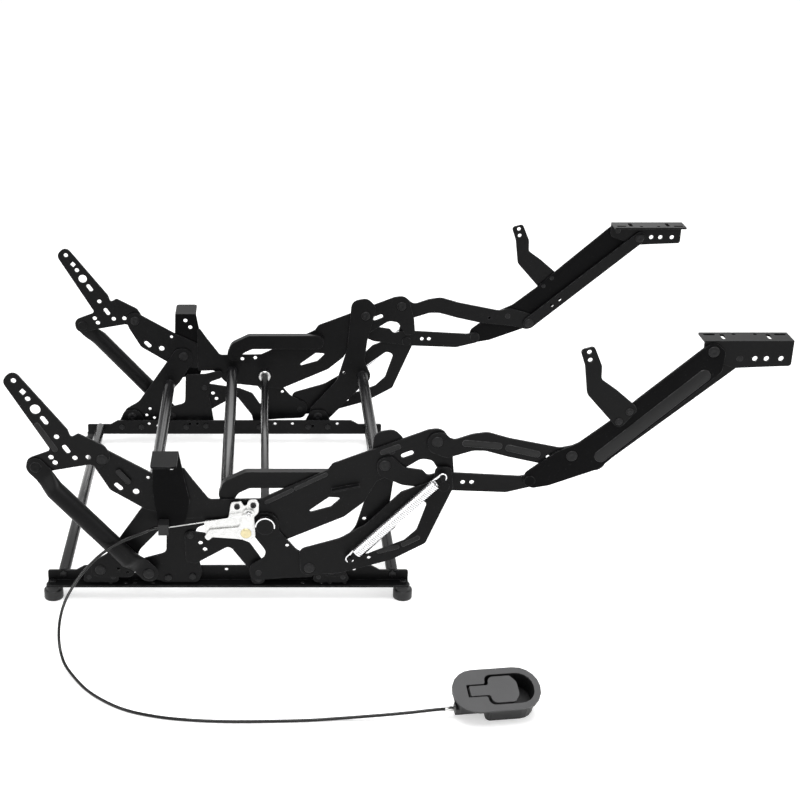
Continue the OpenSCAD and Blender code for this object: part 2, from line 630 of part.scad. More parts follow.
// Footrest links
module rear_footrest_link() color([0.08, 0.08, 0.08]) {
    link(rounded([
        at(rear_link_pin, -11, 9, 11), at(rear_link_pin, -9, -14, 12), at(rear_link_pin, 24, -29, 20),
        at(drive_pin, 9, -8, 20), at(main_tail, -30, -19, 15), at(main_tail, 9, -9, 9),
        at(main_tail, 8, 10, 9), at(main_tail, -13, 5, 12), at(drive_pin, 15, 18, 8),
        at(drive_pin, -6, 19, 6), at(drive_pin, -22, 14, 6), at(drive_pin, -29, 22, 6),
        at(rear_link_pin, 26, -3, 12), at(rear_link_pin, 9, 14, 11)]), link_level, [rear_link_pin],
        [drive_pin + [26, 4], drive_pin + [38, 4]], 3.2);
    boss(drive_pin, link_level, false);
    boss(main_tail, link_level, false);
}
module front_footrest_link() color([0.06, 0.06, 0.06]) link(rounded([
        at(front_link_pin, -14, 12, 14), at(front_link_pin, -12, -14, 14), at(front_link_pin, 14, -24, 12),
        at(front_link_pin, 48, -13, 25), at(front_link_pin, 64, -13, 25), at(main_pin, -84, -3, 25),
        at(main_pin, -44, -12, 20), at(main_pin, 8, -17, 20), at(control_pin, 0, -13, 12),
        at(control_pin, 14, -2, 11), at(control_pin, 4, 14, 11), at(main_pin, 4, 14, 12),
        at(main_pin, -16, 10, 20), at(main_pin, -84, 24, 25), at(front_link_pin, 66, 14, 25),
        at(front_link_pin, 46, 11, 25), at(front_link_pin, 18, 1, 12), at(front_link_pin, 10, 14, 13)]),
        link_level, [front_link_pin, main_pin, control_pin], [main_pin + [-31, -3]]);
module main_footrest_link() color([0.06, 0.06, 0.06]) {
    link(rounded([
        at(main_tail, -10, -2, 9), at(main_tail, 4, -11, 9), at(main_tail, 26, -7, 15),
        at(main_pin, 38, -19, 20), at(main_pin, 72, 15, 20), at(footrest_pin, 14, -28, 8),
        at(footrest_pin, 16, 0, 10), at(footrest_pin, 0, 14, 10), at(footrest_pin, -14, 4, 10),
        at(main_pin, 83, 85, 20), at(main_pin, 46, 50, 30), at(main_pin, 8, 19, 15),
        at(main_pin, -22, 5, 20), at(main_tail, -6, 12, 10)]), main_level, [main_pin, footrest_pin],
        [for (p = flipper_rivets) p], bolt_bore);
    boss(main_tail, main_level);
}
module control_link() color([0.06, 0.06, 0.06])
    link(strip([control_pin, control_end], 9.5), seat_level, [control_pin, control_end],
        [for (t = [0.21, 0.28]) between(control_pin, control_end, t)], 3.2);
module footrest_link_pins() color([0.1, 0.1, 0.1]) both() {
    pin(main_pin, link_level, main_level, false, true);
    pin(control_pin, seat_level, link_level, true, false);
}

// Flipper bracket riveted on the main link
flipper_rivets = [main_pin + [57, 52], main_pin + [70, 66]];
module flipper_bracket() link(rounded([
        at(main_pin, -2, 153, 5), at(main_pin, 16, 158, 5), at(main_pin, 28, 131, 4),
        at(main_pin, 29, 112, 8), at(main_pin, 50, 97, 8), at(main_pin, 82, 70, 8),
        at(main_pin, 58, 40, 8), at(main_pin, 12, 91, 12), at(main_pin, 6, 131, 6)]), outer_level, [],
        concat(flipper_rivets, [main_pin + [10, 150], main_pin + [12, 139]]), bolt_bore);
module flipper_brackets() color([0.06, 0.06, 0.06]) both() flipper_bracket();
module flipper_rivet_set() color([0.1, 0.1, 0.1]) both() for (p = flipper_rivets) {
    inner = level_y(main_level) - flush_gap;
    outer = level_y(outer_level) + plate + flush_gap;
    out_at(inner) translate([p[0], p[1], 0]) cylinder(h = outer - inner, r = bolt_radius);
    out_at(outer) translate([p[0], p[1], 0]) cylinder(h = head_height, r = bolt_head);
}

// Footrest bracket: an angle with fixing holes in its web and slots in its top flange
bracket_top = footrest_z + 14;
bracket_left = footrest_x - 12;
bracket_right = bracket_left + footrest_length;
module footrest_bracket() color([0.1, 0.1, 0.1]) difference() {
    flange_y = level_y(link_level) + plate - footrest_flange;
    union() {
        sheet(rounded([
            [bracket_left, bracket_top, 1], at(footrest_pin, -12, -9, 8), at(control_end, -6, -13, 10),
            at(control_end, 40, -11, 6), [bracket_right, control_end[1] - 10, 4],
            [bracket_right, bracket_top, 1]]), link_level);
        translate([bracket_left, -level_y(link_level) - plate, bracket_top - plate])
            cube([footrest_length, footrest_flange, plate]);
    }
    for (p = [footrest_pin, control_end]) bore(p, link_level);
    for (x = [20, 35, 54]) bore(control_end + [x, 0], link_level, 3.6);
    for (side = [-1, 1]) {
        flange_slot(0.5 + side * 0.12, 0.22, 0, 0, flange_y);
        flange_slot(0.5 + side * 0.26, 0.5, 6, 90, flange_y);
        flange_slot(0.5 + side * 0.4, 0.25, 5, 0, flange_y);
    }
}
module flange_slot(share, depth, half, turn, y)
    translate([bracket_left + share * footrest_length, -y - footrest_flange * depth, bracket_top - plate - 1])
        rotate(turn) if (half == 0) cylinder(h = plate + 2, r = 2.8);
        else linear_extrude(plate + 2) polygon(strip([[-half, 0], [half, 0]], 3));
module bracket_pins() color([0.1, 0.1, 0.1]) both() {
    pin(footrest_pin, link_level, main_level, false, true);
    pin(control_end, seat_level, link_level, true, false);
}

// Assist spring: one unbroken wire with a hook round each post of the drive link
curl_rings = 8;
wire_sides = 6;
spring_y = level_y(main_level) + plate + spring_radius + spring_wire / 2 + 0.5;
spring_span = norm(spring_high - spring_low);
hook_radius = post_radius + spring_wire / 2 + 0.3;
hook_run = 13;
coil_length = spring_span - 2 * hook_run;
spring_pitch = coil_length / spring_curls;
// Path in the spring's own frame: x along its axis, y out of the side, z across
function coil_point(s) = let (a = 360 * s)
    [hook_run + spring_pitch * s, -spring_radius * sin(a), spring_radius * cos(a)];
low_hook = concat(
    [[spring_wire, 0, -hook_radius]],
    [for (a = [270:-30:90]) [hook_radius * cos(a), 0, hook_radius * sin(a)]],
    [[hook_run * 0.45, 0, hook_radius]]);
coil = [for (i = [0:spring_curls * curl_rings]) coil_point(i / curl_rings)];
high_hook = [for (i = [len(low_hook) - 1:-1:0])
    [spring_span - low_hook[i][0], 0, low_hook[i][2]]];
spring_path = concat(low_hook, coil, high_hook);
// Least gap between wires that lie one curl apart
spring_gap = min([for (i = [0:len(coil) - curl_rings - 1])
    norm(coil[i + curl_rings] - coil[i])]) - spring_wire;
echo(spring_gap = spring_gap);

function path_dir(path, i) = let (n = len(path))
    unit(path[min(i + 1, n - 1)] - path[max(i - 1, 0)]);
function across(d) = let (guide = abs(d[2]) < 0.9 ? [0, 0, 1] : [0, 1, 0]) unit(cross(guide, d));
// One frame vector carried along the path so that the rings do not twist
function carried(path, i, last) = i >= len(path) ? [] :
    let (d = path_dir(path, i), raw = last - d * (last * d), now = unit(raw))
    concat([now], carried(path, i + 1, now));
module tube_along(path, radius, sides) {
    frames = carried(path, 0, across(path_dir(path, 0)));
    n = len(path);
    points = [for (i = [0:n - 1]) for (j = [0:sides - 1])
        let (d = path_dir(path, i), u = frames[i], v = cross(d, u), a = 360 * j / sides)
        path[i] + radius * (u * cos(a) + v * sin(a))];
    walls = [for (i = [0:n - 2]) for (j = [0:sides - 1])
        let (a = i * sides + j, b = i * sides + (j + 1) % sides)
        each [[a, b + sides, b], [a, a + sides, b + sides]]];
    first_cap = [for (j = [1:sides - 2]) [0, j, j + 1]];
    last_cap = [for (j = [1:sides - 2]) (n - 1) * sides * [1, 1, 1] + [0, j + 1, j]];
    polyhedron(points = points, faces = concat(first_cap, walls, last_cap));
}
module assist_spring() color([0.8, 0.8, 0.8]) {
    run = spring_high - spring_low;
    translate([spring_low[0], -spring_y, spring_low[1]])
        rotate([0, -atan2(run[1], run[0]), 0]) tube_along(spring_path, spring_wire / 2, wire_sides);
}

// Release latch on the right side: plate, pawl, screws and the cable clamp
module latch_plate() color([0.85, 0.85, 0.83]) link(rounded([
        at(shaft, -83, -9, 4), at(shaft, -83, 7, 4), at(shaft, -50, 9, 8), at(shaft, -46, 36, 5),
        at(shaft, -31, 36, 5), at(shaft, -27, 21, 3), at(shaft, -23, 38, 5), at(shaft, -8, 39, 6),
        at(shaft, -9, 20, 6), at(shaft, -15, 13, 4), at(shaft, -13, -20, 6), at(shaft, -24, -22, 5),
        at(shaft, -37, -21, 4), at(shaft, -39, -12, 3), at(shaft, -46, -17, 4), at(shaft, -61, -12, 6),
        at(shaft, -76, -20, 3)]), main_level, [latch_pivot], latch_screws_at, bolt_bore);
module latch_pawl() color([0.8, 0.8, 0.78]) difference() {
    union() {
        sheet(rounded([
            at(latch_pivot, 9, -9, 8), at(latch_pivot, 10, 8, 8), at(wire_pin, 8, 7, 6),
            at(wire_pin, -7, 7, 6), at(latch_pivot, -9, 9, 6), at(latch_pivot, -50, 5, 4),
            at(latch_pivot, -57, -6, 3), at(latch_pivot, -52, -12, 3), at(latch_pivot, -46, -6, 3),
            at(latch_pivot, -8, -9, 8)]), outer_level);
        out_at(level_y(outer_level) + plate) translate([wire_pin[0], wire_pin[1], 0])
            cylinder(h = wire_y - level_y(outer_level) - plate + 2, r = 2.5);
    }
    bore(latch_pivot, outer_level);
}
module latch_screws() color([0.6, 0.55, 0.4]) right() {
    for (p = latch_screws_at) {
        inner = level_y(seat_level) - flush_gap;
        outer = level_y(main_level) + plate + flush_gap;
        out_at(inner) translate([p[0], p[1], 0]) cylinder(h = outer - inner, r = bolt_radius);
        out_at(inner - head_height) translate([p[0], p[1], 0]) cylinder(h = head_height, r = bolt_head);
        out_at(outer) translate([p[0], p[1], 0]) cylinder(h = head_height, r = bolt_head);
        out_at(level_y(seat_level) + plate + flush_gap) translate([p[0], p[1], 0])
            cylinder(h = level_y(main_level) - level_y(seat_level) - plate - 2 * flush_gap, r = bolt_head);
    }
    pin(latch_pivot, main_level, outer_level, false, true);
}
clamp_size = [14, 16];
clamp_at = arm_foot + [-8, 9];
wire_y = level_y(outer_level) + plate + 3.5;
wire_radius = 0.8;
module cable_clamp() color([0.1, 0.1, 0.1]) difference() {
    y0 = level_y(link_level) + plate;
    translate([clamp_at[0] - clamp_size[0] / 2, -wire_y - 7, clamp_at[1] - clamp_size[1] / 2])
        cube([clamp_size[0], wire_y + 7 - y0, clamp_size[1]]);
    translate([clamp_at[0] - clamp_size[0], -wire_y, clamp_at[1]]) rotate([0, 90, 0])
        cylinder(h = 2 * clamp_size[0], r = cable_diameter / 2 + flush_gap);
}
module cable_wire() color([0.7, 0.7, 0.7]) {
    start = [clamp_at[0], -wire_y, clamp_at[1]];
    stop = [wire_pin[0], -wire_y, wire_pin[1]];
    run = stop - start;
    length = norm(run) - 2.5 - 0.2;
    translate(start) rotate([0, 90 - atan2(run[2], run[0]), 0]) cylinder(h = length, r = wire_radius);
}

// Release handle: face and cup tilted back on the floor, a paddle lever and its pin
handle_centre = [335, -541];
handle_tilt = 23;
handle_yaw = 7;
cup_half = handle_width / 2 - 6;
cup_wall = 2.2;
cup_left = -14;
cup_right = handle_length / 2 - 5;
box_half = 15;
box_depth = 24;
box_left = -handle_length / 2 + 7;
handle_z = (cup_half * sin(handle_tilt)) + (cup_depth + handle_face) * cos(handle_tilt) + 0.1;
port_axis = [-8.5, -23];
port_start = box_left - 3;
port_end = [port_start - 12, port_axis[0], port_axis[1]];
function handle_point(p) = let (
    y = p[1] * cos(handle_tilt) - p[2] * sin(handle_tilt),
    z = p[1] * sin(handle_tilt) + p[2] * cos(handle_tilt))
    [handle_centre[0] + p[0] * cos(handle_yaw) - y * sin(handle_yaw),
     handle_centre[1] + p[0] * sin(handle_yaw) + y * cos(handle_yaw), handle_z + z];
module in_handle() translate([handle_centre[0], handle_centre[1], handle_z])
    rotate([handle_tilt, 0, handle_yaw]) children();

// Cable sheath: leaves the clamp, falls to the floor and runs to the handle
floor_z = 0.1 + cable_diameter / 2;
cable_route = [
    [-110, -294, 124], [-146, -304, 112], [-168, -315, 102], [-188, -331, 88], [-203, -350, 74],
    [-213, -371, 61], [-218, -388, 46], [-219, -402, 30], [-216, -417, 16], [-208, -437, 7],
    [-194, -460, 3.2], [-176, -486, floor_z], [-155, -508, floor_z], [-128, -528, floor_z],
    [-98, -541, floor_z], [-55, -551, floor_z], [9, -556, floor_z], [95, -554, floor_z],
    [144, -551, 3.4], [193, -552, 8.5], [228, -552, 12.3]];
cable_start = [clamp_at[0] - flush_gap, -wire_y, clamp_at[1]];
cable_path = concat(
    [cable_start, cable_start + [-12, 0, 0]],
    smooth(cable_route, 3),
    [handle_point(port_end + [-12, 0, 0]), handle_point(port_end + [-flush_gap, 0, 0])]);
// Passes a smooth curve through the points, with the given number of steps between two of them
function smooth(p, steps) = let (n = len(p)) concat([for (i = [0:n - 2]) for (k = [0:steps - 1])
    curve(p[max(i - 1, 0)], p[i], p[i + 1], p[min(i + 2, n - 1)], k / steps)], [p[n - 1]]);
function curve(a, b, c, d, t) = 0.5 * (2 * b + (c - a) * t + (2 * a - 5 * b + 4 * c - d) * t * t
    + (3 * b - a - 3 * c + d) * t * t * t);
module cable_sheath() color([0.05, 0.05, 0.05]) tube_along(cable_path, cable_diameter / 2, 10);
cable_length = norm_sum(cable_path);
function norm_sum(p) = len(p) < 2 ? 0 :
    let (steps = [for (i = [0:len(p) - 2]) norm(p[i + 1] - p[i])]) steps * [for (s = steps) 1];
echo(cable_length = cable_length);

function stadium(half_length, radius) = strip([[-half_length, 0], [half_length, 0]], radius);
lever_pin_x = -30;
lever_pin_z = -5;
lever_pin_radius = 1.6;
lever_half = handle_width / 2 - 11.5;
recess_half = lever_half + 3;
// Outline of the hole in the face: a slot for the lever's tail and a round ended recess for fingers
function face_hole() = rounded([
    [lever_pin_x - 6.5, -9, 1.5], [-12.5, -9, 3], [-12.5, -recess_half, 8], [cup_right - 3, -recess_half, 20],
    [cup_right - 3, recess_half, 20], [-12.5, recess_half, 8], [-12.5, 9, 3], [lever_pin_x - 6.5, 9, 1.5]]);
module handle_cup(inset) polygon(rounded([
    [cup_left + inset, -cup_half + inset, 6], [cup_right - inset, -cup_half + inset, 21 - inset],
    [cup_right - inset, cup_half - inset, 21 - inset], [cup_left + inset, cup_half - inset, 6]]));
module handle_box(inset) polygon(rounded([
    [box_left + inset, -box_half + inset, 3], [cup_left + cup_wall + 1, -box_half + inset, 0.5],
    [cup_left + cup_wall + 1, box_half - inset, 0.5], [box_left + inset, box_half - inset, 3]]));
module handle_housing() color([0.05, 0.05, 0.055]) in_handle() difference() {
    union() {
        translate([0, 0, -handle_face]) linear_extrude(handle_face)
            polygon(stadium(handle_length / 2 - handle_width / 2, handle_width / 2));
        translate([0, 0, -handle_face - cup_depth]) linear_extrude(cup_depth) handle_cup(0);
        translate([0, 0, -handle_face - box_depth]) linear_extrude(box_depth) handle_box(0);
        translate([port_start, port_axis[0] - 6, port_axis[1] - 6]) cube([10, 12, 12]);
    }
    translate([0, 0, -handle_face - 1]) linear_extrude(handle_face + 2) polygon(face_hole());
    translate([0, 0, -handle_face - cup_depth + cup_wall]) linear_extrude(cup_depth - cup_wall)
        handle_cup(cup_wall);
    translate([0, 0, -handle_face - box_depth + cup_wall]) linear_extrude(box_depth - cup_wall)
        handle_box(cup_wall + 1);
    translate([lever_pin_x, 0, lever_pin_z]) rotate([90, 0, 0])
        translate([0, 0, -box_half - 1]) cylinder(h = 2 * box_half + 2, r = lever_pin_radius + flush_gap);
    translate([port_start - 1, port_axis[0], port_axis[1]]) rotate([0, 90, 0])
        cylinder(h = 14, r = 1.5);
}
module handle_ferrule() color([0.75, 0.75, 0.75]) in_handle()
    translate([port_end[0], port_axis[0], port_axis[1]]) rotate([0, 90, 0]) difference() {
        cylinder(h = 12 - flush_gap, r = cable_diameter / 2 + 1);
        translate([0, 0, -1]) cylinder(h = 14, r = 1.2);
    }
module handle_lever() color([0.06, 0.06, 0.065]) in_handle() difference() {
    union() {
        translate([0, 0, -handle_face - 0.8]) linear_extrude(handle_face + 0.4) polygon(rounded([
            [lever_pin_x - 3, -7, 1.5], [-9, -7, 3], [-7.5, -lever_half, 7], [20, -lever_half, 4],
            [27, -lever_half / 2, 12], [27, lever_half / 2, 12], [20, lever_half, 4],
            [-7.5, lever_half, 7], [-9, 7, 3], [lever_pin_x - 3, 7, 1.5]]));
        translate([lever_pin_x, 0, lever_pin_z]) rotate([90, 0, 0])
            translate([0, 0, -7]) cylinder(h = 14, r = 3.6);
        translate([12, -lever_half + 3, -handle_face - 7]) cube([3, 2 * lever_half - 6, 7]);
    }
    translate([lever_pin_x, 0, lever_pin_z]) rotate([90, 0, 0])
        translate([0, 0, -9]) cylinder(h = 18, r = lever_pin_radius + flush_gap);
}
module handle_fittings() {
    handle_ferrule();
    handle_pin();
}
module handle_pin() color([0.7, 0.7, 0.7]) in_handle()
    translate([lever_pin_x, 0, lever_pin_z]) rotate([90, 0, 0])
        translate([0, 0, -box_half + 0.1]) cylinder(h = 2 * box_half - 0.2, r = lever_pin_radius);

right() base_rail();  // right_base_rail
left() base_rail();  // left_base_rail
rear_base_tube();
front_base_tube();
feet();
base_bolts();
pivot_brackets();
strut_brackets();
base_stays();
base_pins();
right() rear_lift_link();  // right_rear_lift_link
left() rear_lift_link();  // left_rear_lift_link
rear_lift_tube();
right() front_lift_link();  // right_front_lift_link
left() front_lift_link();  // left_front_lift_link
front_lift_tube();
right() seat_plate();  // right_seat_plate
left() seat_plate();  // left_seat_plate
right() rear_seat_plate();  // right_rear_seat_plate
left() rear_seat_plate();  // left_rear_seat_plate
inner_seat_rails();
arm_brackets();
seat_cross_tube();
seat_pins();
right() back_bracket();  // right_back_bracket
left() back_bracket();  // left_back_bracket
right() back_strut();  // right_back_strut
left() back_strut();  // left_back_strut
drive_shaft();
right() crank();  // right_crank
left() crank();  // left_crank
crank_pins();
shaft_collars();
right() drive_link();  // right_drive_link
left() drive_link();  // left_drive_link
right() rear_footrest_link();  // right_rear_footrest_link
left() rear_footrest_link();  // left_rear_footrest_link
right() front_footrest_link();  // right_front_footrest_link
left() front_footrest_link();  // left_front_footrest_link
footrest_link_pins();
right() main_footrest_link();  // right_main_footrest_link
left() main_footrest_link();  // left_main_footrest_link
flipper_brackets();
flipper_rivet_set();  // flipper_rivets
right() control_link();  // right_control_link
left() control_link();  // left_control_link
right() footrest_bracket();  // right_footrest_bracket
left() footrest_bracket();  // left_footrest_bracket
bracket_pins();
right() assist_spring();  // right_assist_spring
left() assist_spring();  // left_assist_spring
latch_plate();
latch_pawl();
latch_screws();
cable_clamp();
cable_wire();
cable_sheath();
handle_housing();
handle_lever();
handle_fittings();
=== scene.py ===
"""Looks of a recliner mechanism: finishes, pressed ribs, rivets, tubes, springs, cable and handle."""

import json
from math import atan2, cos, pi, radians, sin

import bmesh
import bpy
from bpy.props import FloatProperty, FloatVectorProperty, IntProperty, PointerProperty
from mathutils import Matrix, Vector


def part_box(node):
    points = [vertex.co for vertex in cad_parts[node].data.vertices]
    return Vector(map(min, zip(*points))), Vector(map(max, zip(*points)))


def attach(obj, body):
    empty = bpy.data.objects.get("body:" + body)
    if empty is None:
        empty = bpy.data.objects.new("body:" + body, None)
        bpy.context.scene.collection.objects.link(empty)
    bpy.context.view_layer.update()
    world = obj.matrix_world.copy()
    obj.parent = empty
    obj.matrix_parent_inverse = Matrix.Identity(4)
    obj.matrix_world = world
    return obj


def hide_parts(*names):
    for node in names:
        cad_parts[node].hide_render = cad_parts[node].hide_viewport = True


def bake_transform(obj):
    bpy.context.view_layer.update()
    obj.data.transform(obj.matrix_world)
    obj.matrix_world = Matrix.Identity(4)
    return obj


bl_info = {
    "name": "Recliner mechanism",
    "version": (1, 0, 0),
    "blender": (4, 5, 0),
    "location": "View3D > Sidebar > Recliner",
    "description": "Dresses the packed recliner mechanism with its finishes and fine pieces",
    "category": "Object",
}

MM = 0.001
SIDES = {"right": -1, "left": 1}
ENDS = (-1, 1)
# Gap between pieces that would touch
CLEAR = 0.0001

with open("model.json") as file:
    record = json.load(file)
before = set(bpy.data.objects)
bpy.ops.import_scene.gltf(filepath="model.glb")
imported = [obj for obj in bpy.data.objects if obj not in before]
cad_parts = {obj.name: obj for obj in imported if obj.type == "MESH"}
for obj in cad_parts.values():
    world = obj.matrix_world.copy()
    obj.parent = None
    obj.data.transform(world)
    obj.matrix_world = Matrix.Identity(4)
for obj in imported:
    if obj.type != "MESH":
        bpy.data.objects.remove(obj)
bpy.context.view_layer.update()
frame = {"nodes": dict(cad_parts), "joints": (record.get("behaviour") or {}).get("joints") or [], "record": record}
PIVOT = {joint["name"]: Vector(joint["pos_m"]) for joint in frame["joints"]}
SLOT_OF = {row["node"]: row["material_slot"] for row in frame["record"]["subparts"]}
BODY_OF = {node: body for body, nodes in frame["record"]["behaviour"]["bodies"].items() for node in nodes}


def side_point(x, z):
    """A point of the side view, given in millimetres."""
    return Vector((x * MM, 0, z * MM))


def from_pivot(joint, x, z):
    """A point of the side view, given in millimetres from a joint's pivot."""
    return PIVOT[joint] + side_point(x, z)


# Pivots, posts and screws that belong to no joint
FRONT_SEAT = side_point(222, 234)
DRIVE_END = side_point(293, 186)
STRUT_TOP = side_point(-256, 214)
CRANK_TAIL = from_pivot("crank_turn", -9, -76)
CONTROL_END = PIVOT["footrest_turn"] + PIVOT["control_turn"] - PIVOT["main_footrest_turn"]
STAY_TOP = from_pivot("strut_turn", 58, 54)
STRUT_BOLTS = [from_pivot("strut_turn", 26, -14), from_pivot("strut_turn", 60, -12)]
FLIPPER_RIVETS = [from_pivot("main_footrest_turn", 57, 52), from_pivot("main_footrest_turn", 70, 66)]
SPRING_LOW = from_pivot("drive_turn", 55, 19)
SPRING_HIGH = DRIVE_END + side_point(-3, 17)
LATCH_SCREWS = [from_pivot("crank_turn", -38, 29), from_pivot("crank_turn", -16, 31)]
LATCH_PIVOT = from_pivot("crank_turn", -26, -10)
WIRE_PIN = from_pivot("crank_turn", -22, 19)

# Places on the base, in metres: the rail's web, its bolts, the ends of the base tubes and the feet
WEB_INNER, WEB_OUTER = 0.2505, 0.2535
BOLT_ROW, BOLT_SPREAD = 0.037, 0.017
TUBE_REACH, TUBE_HEIGHT = 0.231, 0.036
FOOT_REACH, FOOT_SIDE, FOOT_BOLT = 0.246, 0.2563, 0.2591
FLANGE_TOP = 0.0266

# Cable route in metres, the same points as in the part's source
CABLE_START = (-0.0861, -0.287, 0.126)
CABLE_ROUTE = [
    (-0.110, -0.294, 0.124), (-0.146, -0.304, 0.112), (-0.168, -0.315, 0.102), (-0.188, -0.331, 0.088),
    (-0.203, -0.350, 0.074), (-0.213, -0.371, 0.061), (-0.218, -0.388, 0.046), (-0.219, -0.402, 0.030),
    (-0.216, -0.417, 0.016), (-0.208, -0.437, 0.007), (-0.194, -0.460, 0.0032), (-0.176, -0.486, 0.0021),
    (-0.155, -0.508, 0.0021), (-0.128, -0.528, 0.0021), (-0.098, -0.541, 0.0021), (-0.055, -0.551, 0.0021),
    (0.009, -0.556, 0.0021), (0.095, -0.554, 0.0021), (0.144, -0.551, 0.0034), (0.193, -0.552, 0.0085),
    (0.228, -0.552, 0.0123)]
# Straight run of the cable out of the clamp and into the handle
CABLE_STRAIGHT = 0.012

# In the handle's own axes: where the ferrule starts, and the pin of the lever
HANDLE_PORT = Vector((-0.063, -0.0085, -0.023))
LEVER_PIN = Vector((-0.03, 0, -0.005))


def a_length(name, description, default):
    return FloatProperty(name=name, description=description, default=default, unit="LENGTH")


def an_angle(name, description, degrees):
    return FloatProperty(name=name, description=description, default=radians(degrees), subtype="ANGLE")


def a_place(name, description, default):
    return FloatVectorProperty(name=name, description=description, default=default, subtype="XYZ")


def a_colour(name, description, default):
    return FloatVectorProperty(name=name, description=description, default=default, subtype="COLOR")


class MechanismSizes(bpy.types.PropertyGroup):
    """Sizes shared by the pieces of the side linkages."""

    plate: a_length("Plate", "Thickness of the stamped plates", 0.003)
    plate_gap: a_length("Plate gap", "Gap between plates of a stack", 0.0006)
    stack_start: a_length("Stack start", "Distance of the first plate from the middle", 0.2625)
    edge_round: a_length("Edge round", "Rounding of sheared edges", 0.0005)
    pin_radius: a_length("Pin radius", "Radius of the pivot pins", 0.004)
    head_radius: a_length("Head radius", "Radius of the rivet heads", 0.0075)
    head_height: a_length("Head height", "Height of the rivet heads", 0.002)
    small_shank: a_length("Small shank", "Radius of the bolts and small rivets", 0.003)
    small_head: a_length("Small head", "Radius of the hexagon and small rivet heads", 0.005)
    bolt_height: a_length("Bolt height", "Height of the hexagon heads", 0.0025)
    weld: a_length("Weld", "Width of the weld beads at the tube ends", 0.0032)
    segments: IntProperty(name="Segments", description="Steps round a turned piece", default=32)


class ReleaseSizes(bpy.types.PropertyGroup):
    """Sizes of the springs, the cable and the handle."""

    spring_radius: a_length("Spring radius", "Radius to the middle of the wire", 0.0062)
    spring_wire: a_length("Spring wire", "Diameter of the spring wire", 0.0028)
    spring_curls: IntProperty(name="Curls", description="Curls on each spring", default=50)
    hook_run: a_length("Hook run", "Length of the hook at each end of a spring", 0.013)
    cable: a_length("Cable", "Diameter of the cable sheath", 0.004)
    inner_wire: a_length("Inner wire", "Radius of the bare inner wire", 0.0008)
    wire_loop: a_length("Wire loop", "Radius of the loop at the wire's end", 0.0034)
    handle_round: a_length("Handle round", "Rounding of the handle's edges", 0.001)
    handle_tilt: an_angle("Handle tilt", "Tilt of the handle on the floor", 23)
    handle_yaw: an_angle("Handle yaw", "Turn of the handle on the floor", 7)
    handle_place: a_place("Handle place", "Centre of the handle's face", (0.335, -0.541, 0.038934))


class FinishColours(bpy.types.PropertyGroup):
    """Colours of the finishes."""

    coat: a_colour("Powder coat", "Black satin coat of the plates", (0.0035, 0.0035, 0.0038))
    tube: a_colour("Tube coat", "Glossier coat of the tubes", (0.009, 0.009, 0.01))
    pin: a_colour("Blackened steel", "Blackened rivets and bolts", (0.006, 0.006, 0.0065))
    zinc: a_colour("Zinc plate", "Bright zinc of the latch", (0.7, 0.7, 0.69))
    spring: a_colour("Spring steel", "Bright wire of the springs", (0.88, 0.88, 0.89))
    passivated: a_colour("Yellow zinc", "Yellow zinc of the latch's pivot rivet", (0.66, 0.58, 0.36))
    plastic: a_colour("Plastic", "Black plastic of the feet and the clamp", (0.012, 0.012, 0.0125))
    handle: a_colour("Handle plastic", "Greyer plastic of the handle's face", (0.075, 0.075, 0.077))
    cable: a_colour("Cable skin", "Black skin of the cable", (0.003, 0.003, 0.003))
    # Lighter colour along the edges: partly worn thin coat, partly a painted highlight
    worn_edge_and_highlight: a_colour("Worn edge and highlight", "Coat where it is thin along edges", (0.07, 0.07, 0.072))


class StageSettings(bpy.types.PropertyGroup):
    """Camera, floor and lamps."""

    camera_place: a_place("Camera", "Place of the camera", (0.0495, -2.039, 1.059))
    camera_pitch: an_angle("Pitch", "How far the camera looks down", 23)
    camera_lens: FloatProperty(name="Lens", description="Focal length in millimetres", default=65.4)
    camera_shift: FloatProperty(name="Shift", description="Sideways shift of the frame", default=0.171)
    floor_colour: a_colour("Floor", "Pale floor", (0.86, 0.86, 0.86))
    floor_glow: FloatProperty(name="Floor glow", description="Light that the seen floor adds", default=0.45)
    world_strength: FloatProperty(name="World", description="Strength of the room's light", default=0.62)
    key_power: FloatProperty(name="Key", description="Power of the overhead softbox", default=36.0)
    fill_power: FloatProperty(name="Fill", description="Power of the side softboxes", default=16.0)


SETTINGS = {"mechanism_sizes": MechanismSizes, "release_sizes": ReleaseSizes,
            "finish_colours": FinishColours, "stage_settings": StageSettings}


def sizes():
    return bpy.context.scene.mechanism_sizes


def release():
    return bpy.context.scene.release_sizes


def colours():
    return bpy.context.scene.finish_colours


# Levels of a side's stack, from the inside: 0 base brackets, 1 lift links, 2 seat plates and control links,
# 3 back brackets, cranks, footrest links and brackets, 4 struts, drive and main links and the latch plate,
# 5 pawl and flippers

def inner_y(level):
    """Distance of a plate's inner face from the middle."""
    return sizes().stack_start + level * (sizes().plate + sizes().plate_gap)


def outer_y(level):
    """Distance of a plate's outer face from the middle."""
    return inner_y(level) + sizes().plate


# Shader helpers and groups

def feed(tree, value, socket):
    """Links a socket to another, or sets it to a number or a colour."""
    if isinstance(value, bpy.types.NodeSocket):
        tree.links.new(value, socket)
    elif isinstance(value, (int, float)):
        socket.default_value = value
    else:
        socket.default_value = (*value, 1.0)


def object_coords(tree):
    return tree.nodes.new("ShaderNodeTexCoord").outputs["Object"]


def noise(tree, coords, scale, detail, rough=0.5):
    node = tree.nodes.new("ShaderNodeTexNoise")
    for label, value in (("Vector", coords), ("Scale", scale), ("Detail", detail), ("Roughness", rough)):
        feed(tree, value, node.inputs[label])
    return node.outputs["Fac"]


def cells(tree, coords, scale, feature="F1"):
    node = tree.nodes.new("ShaderNodeTexVoronoi")
    node.feature = feature
    feed(tree, coords, node.inputs["Vector"])
    feed(tree, scale, node.inputs["Scale"])
    return node


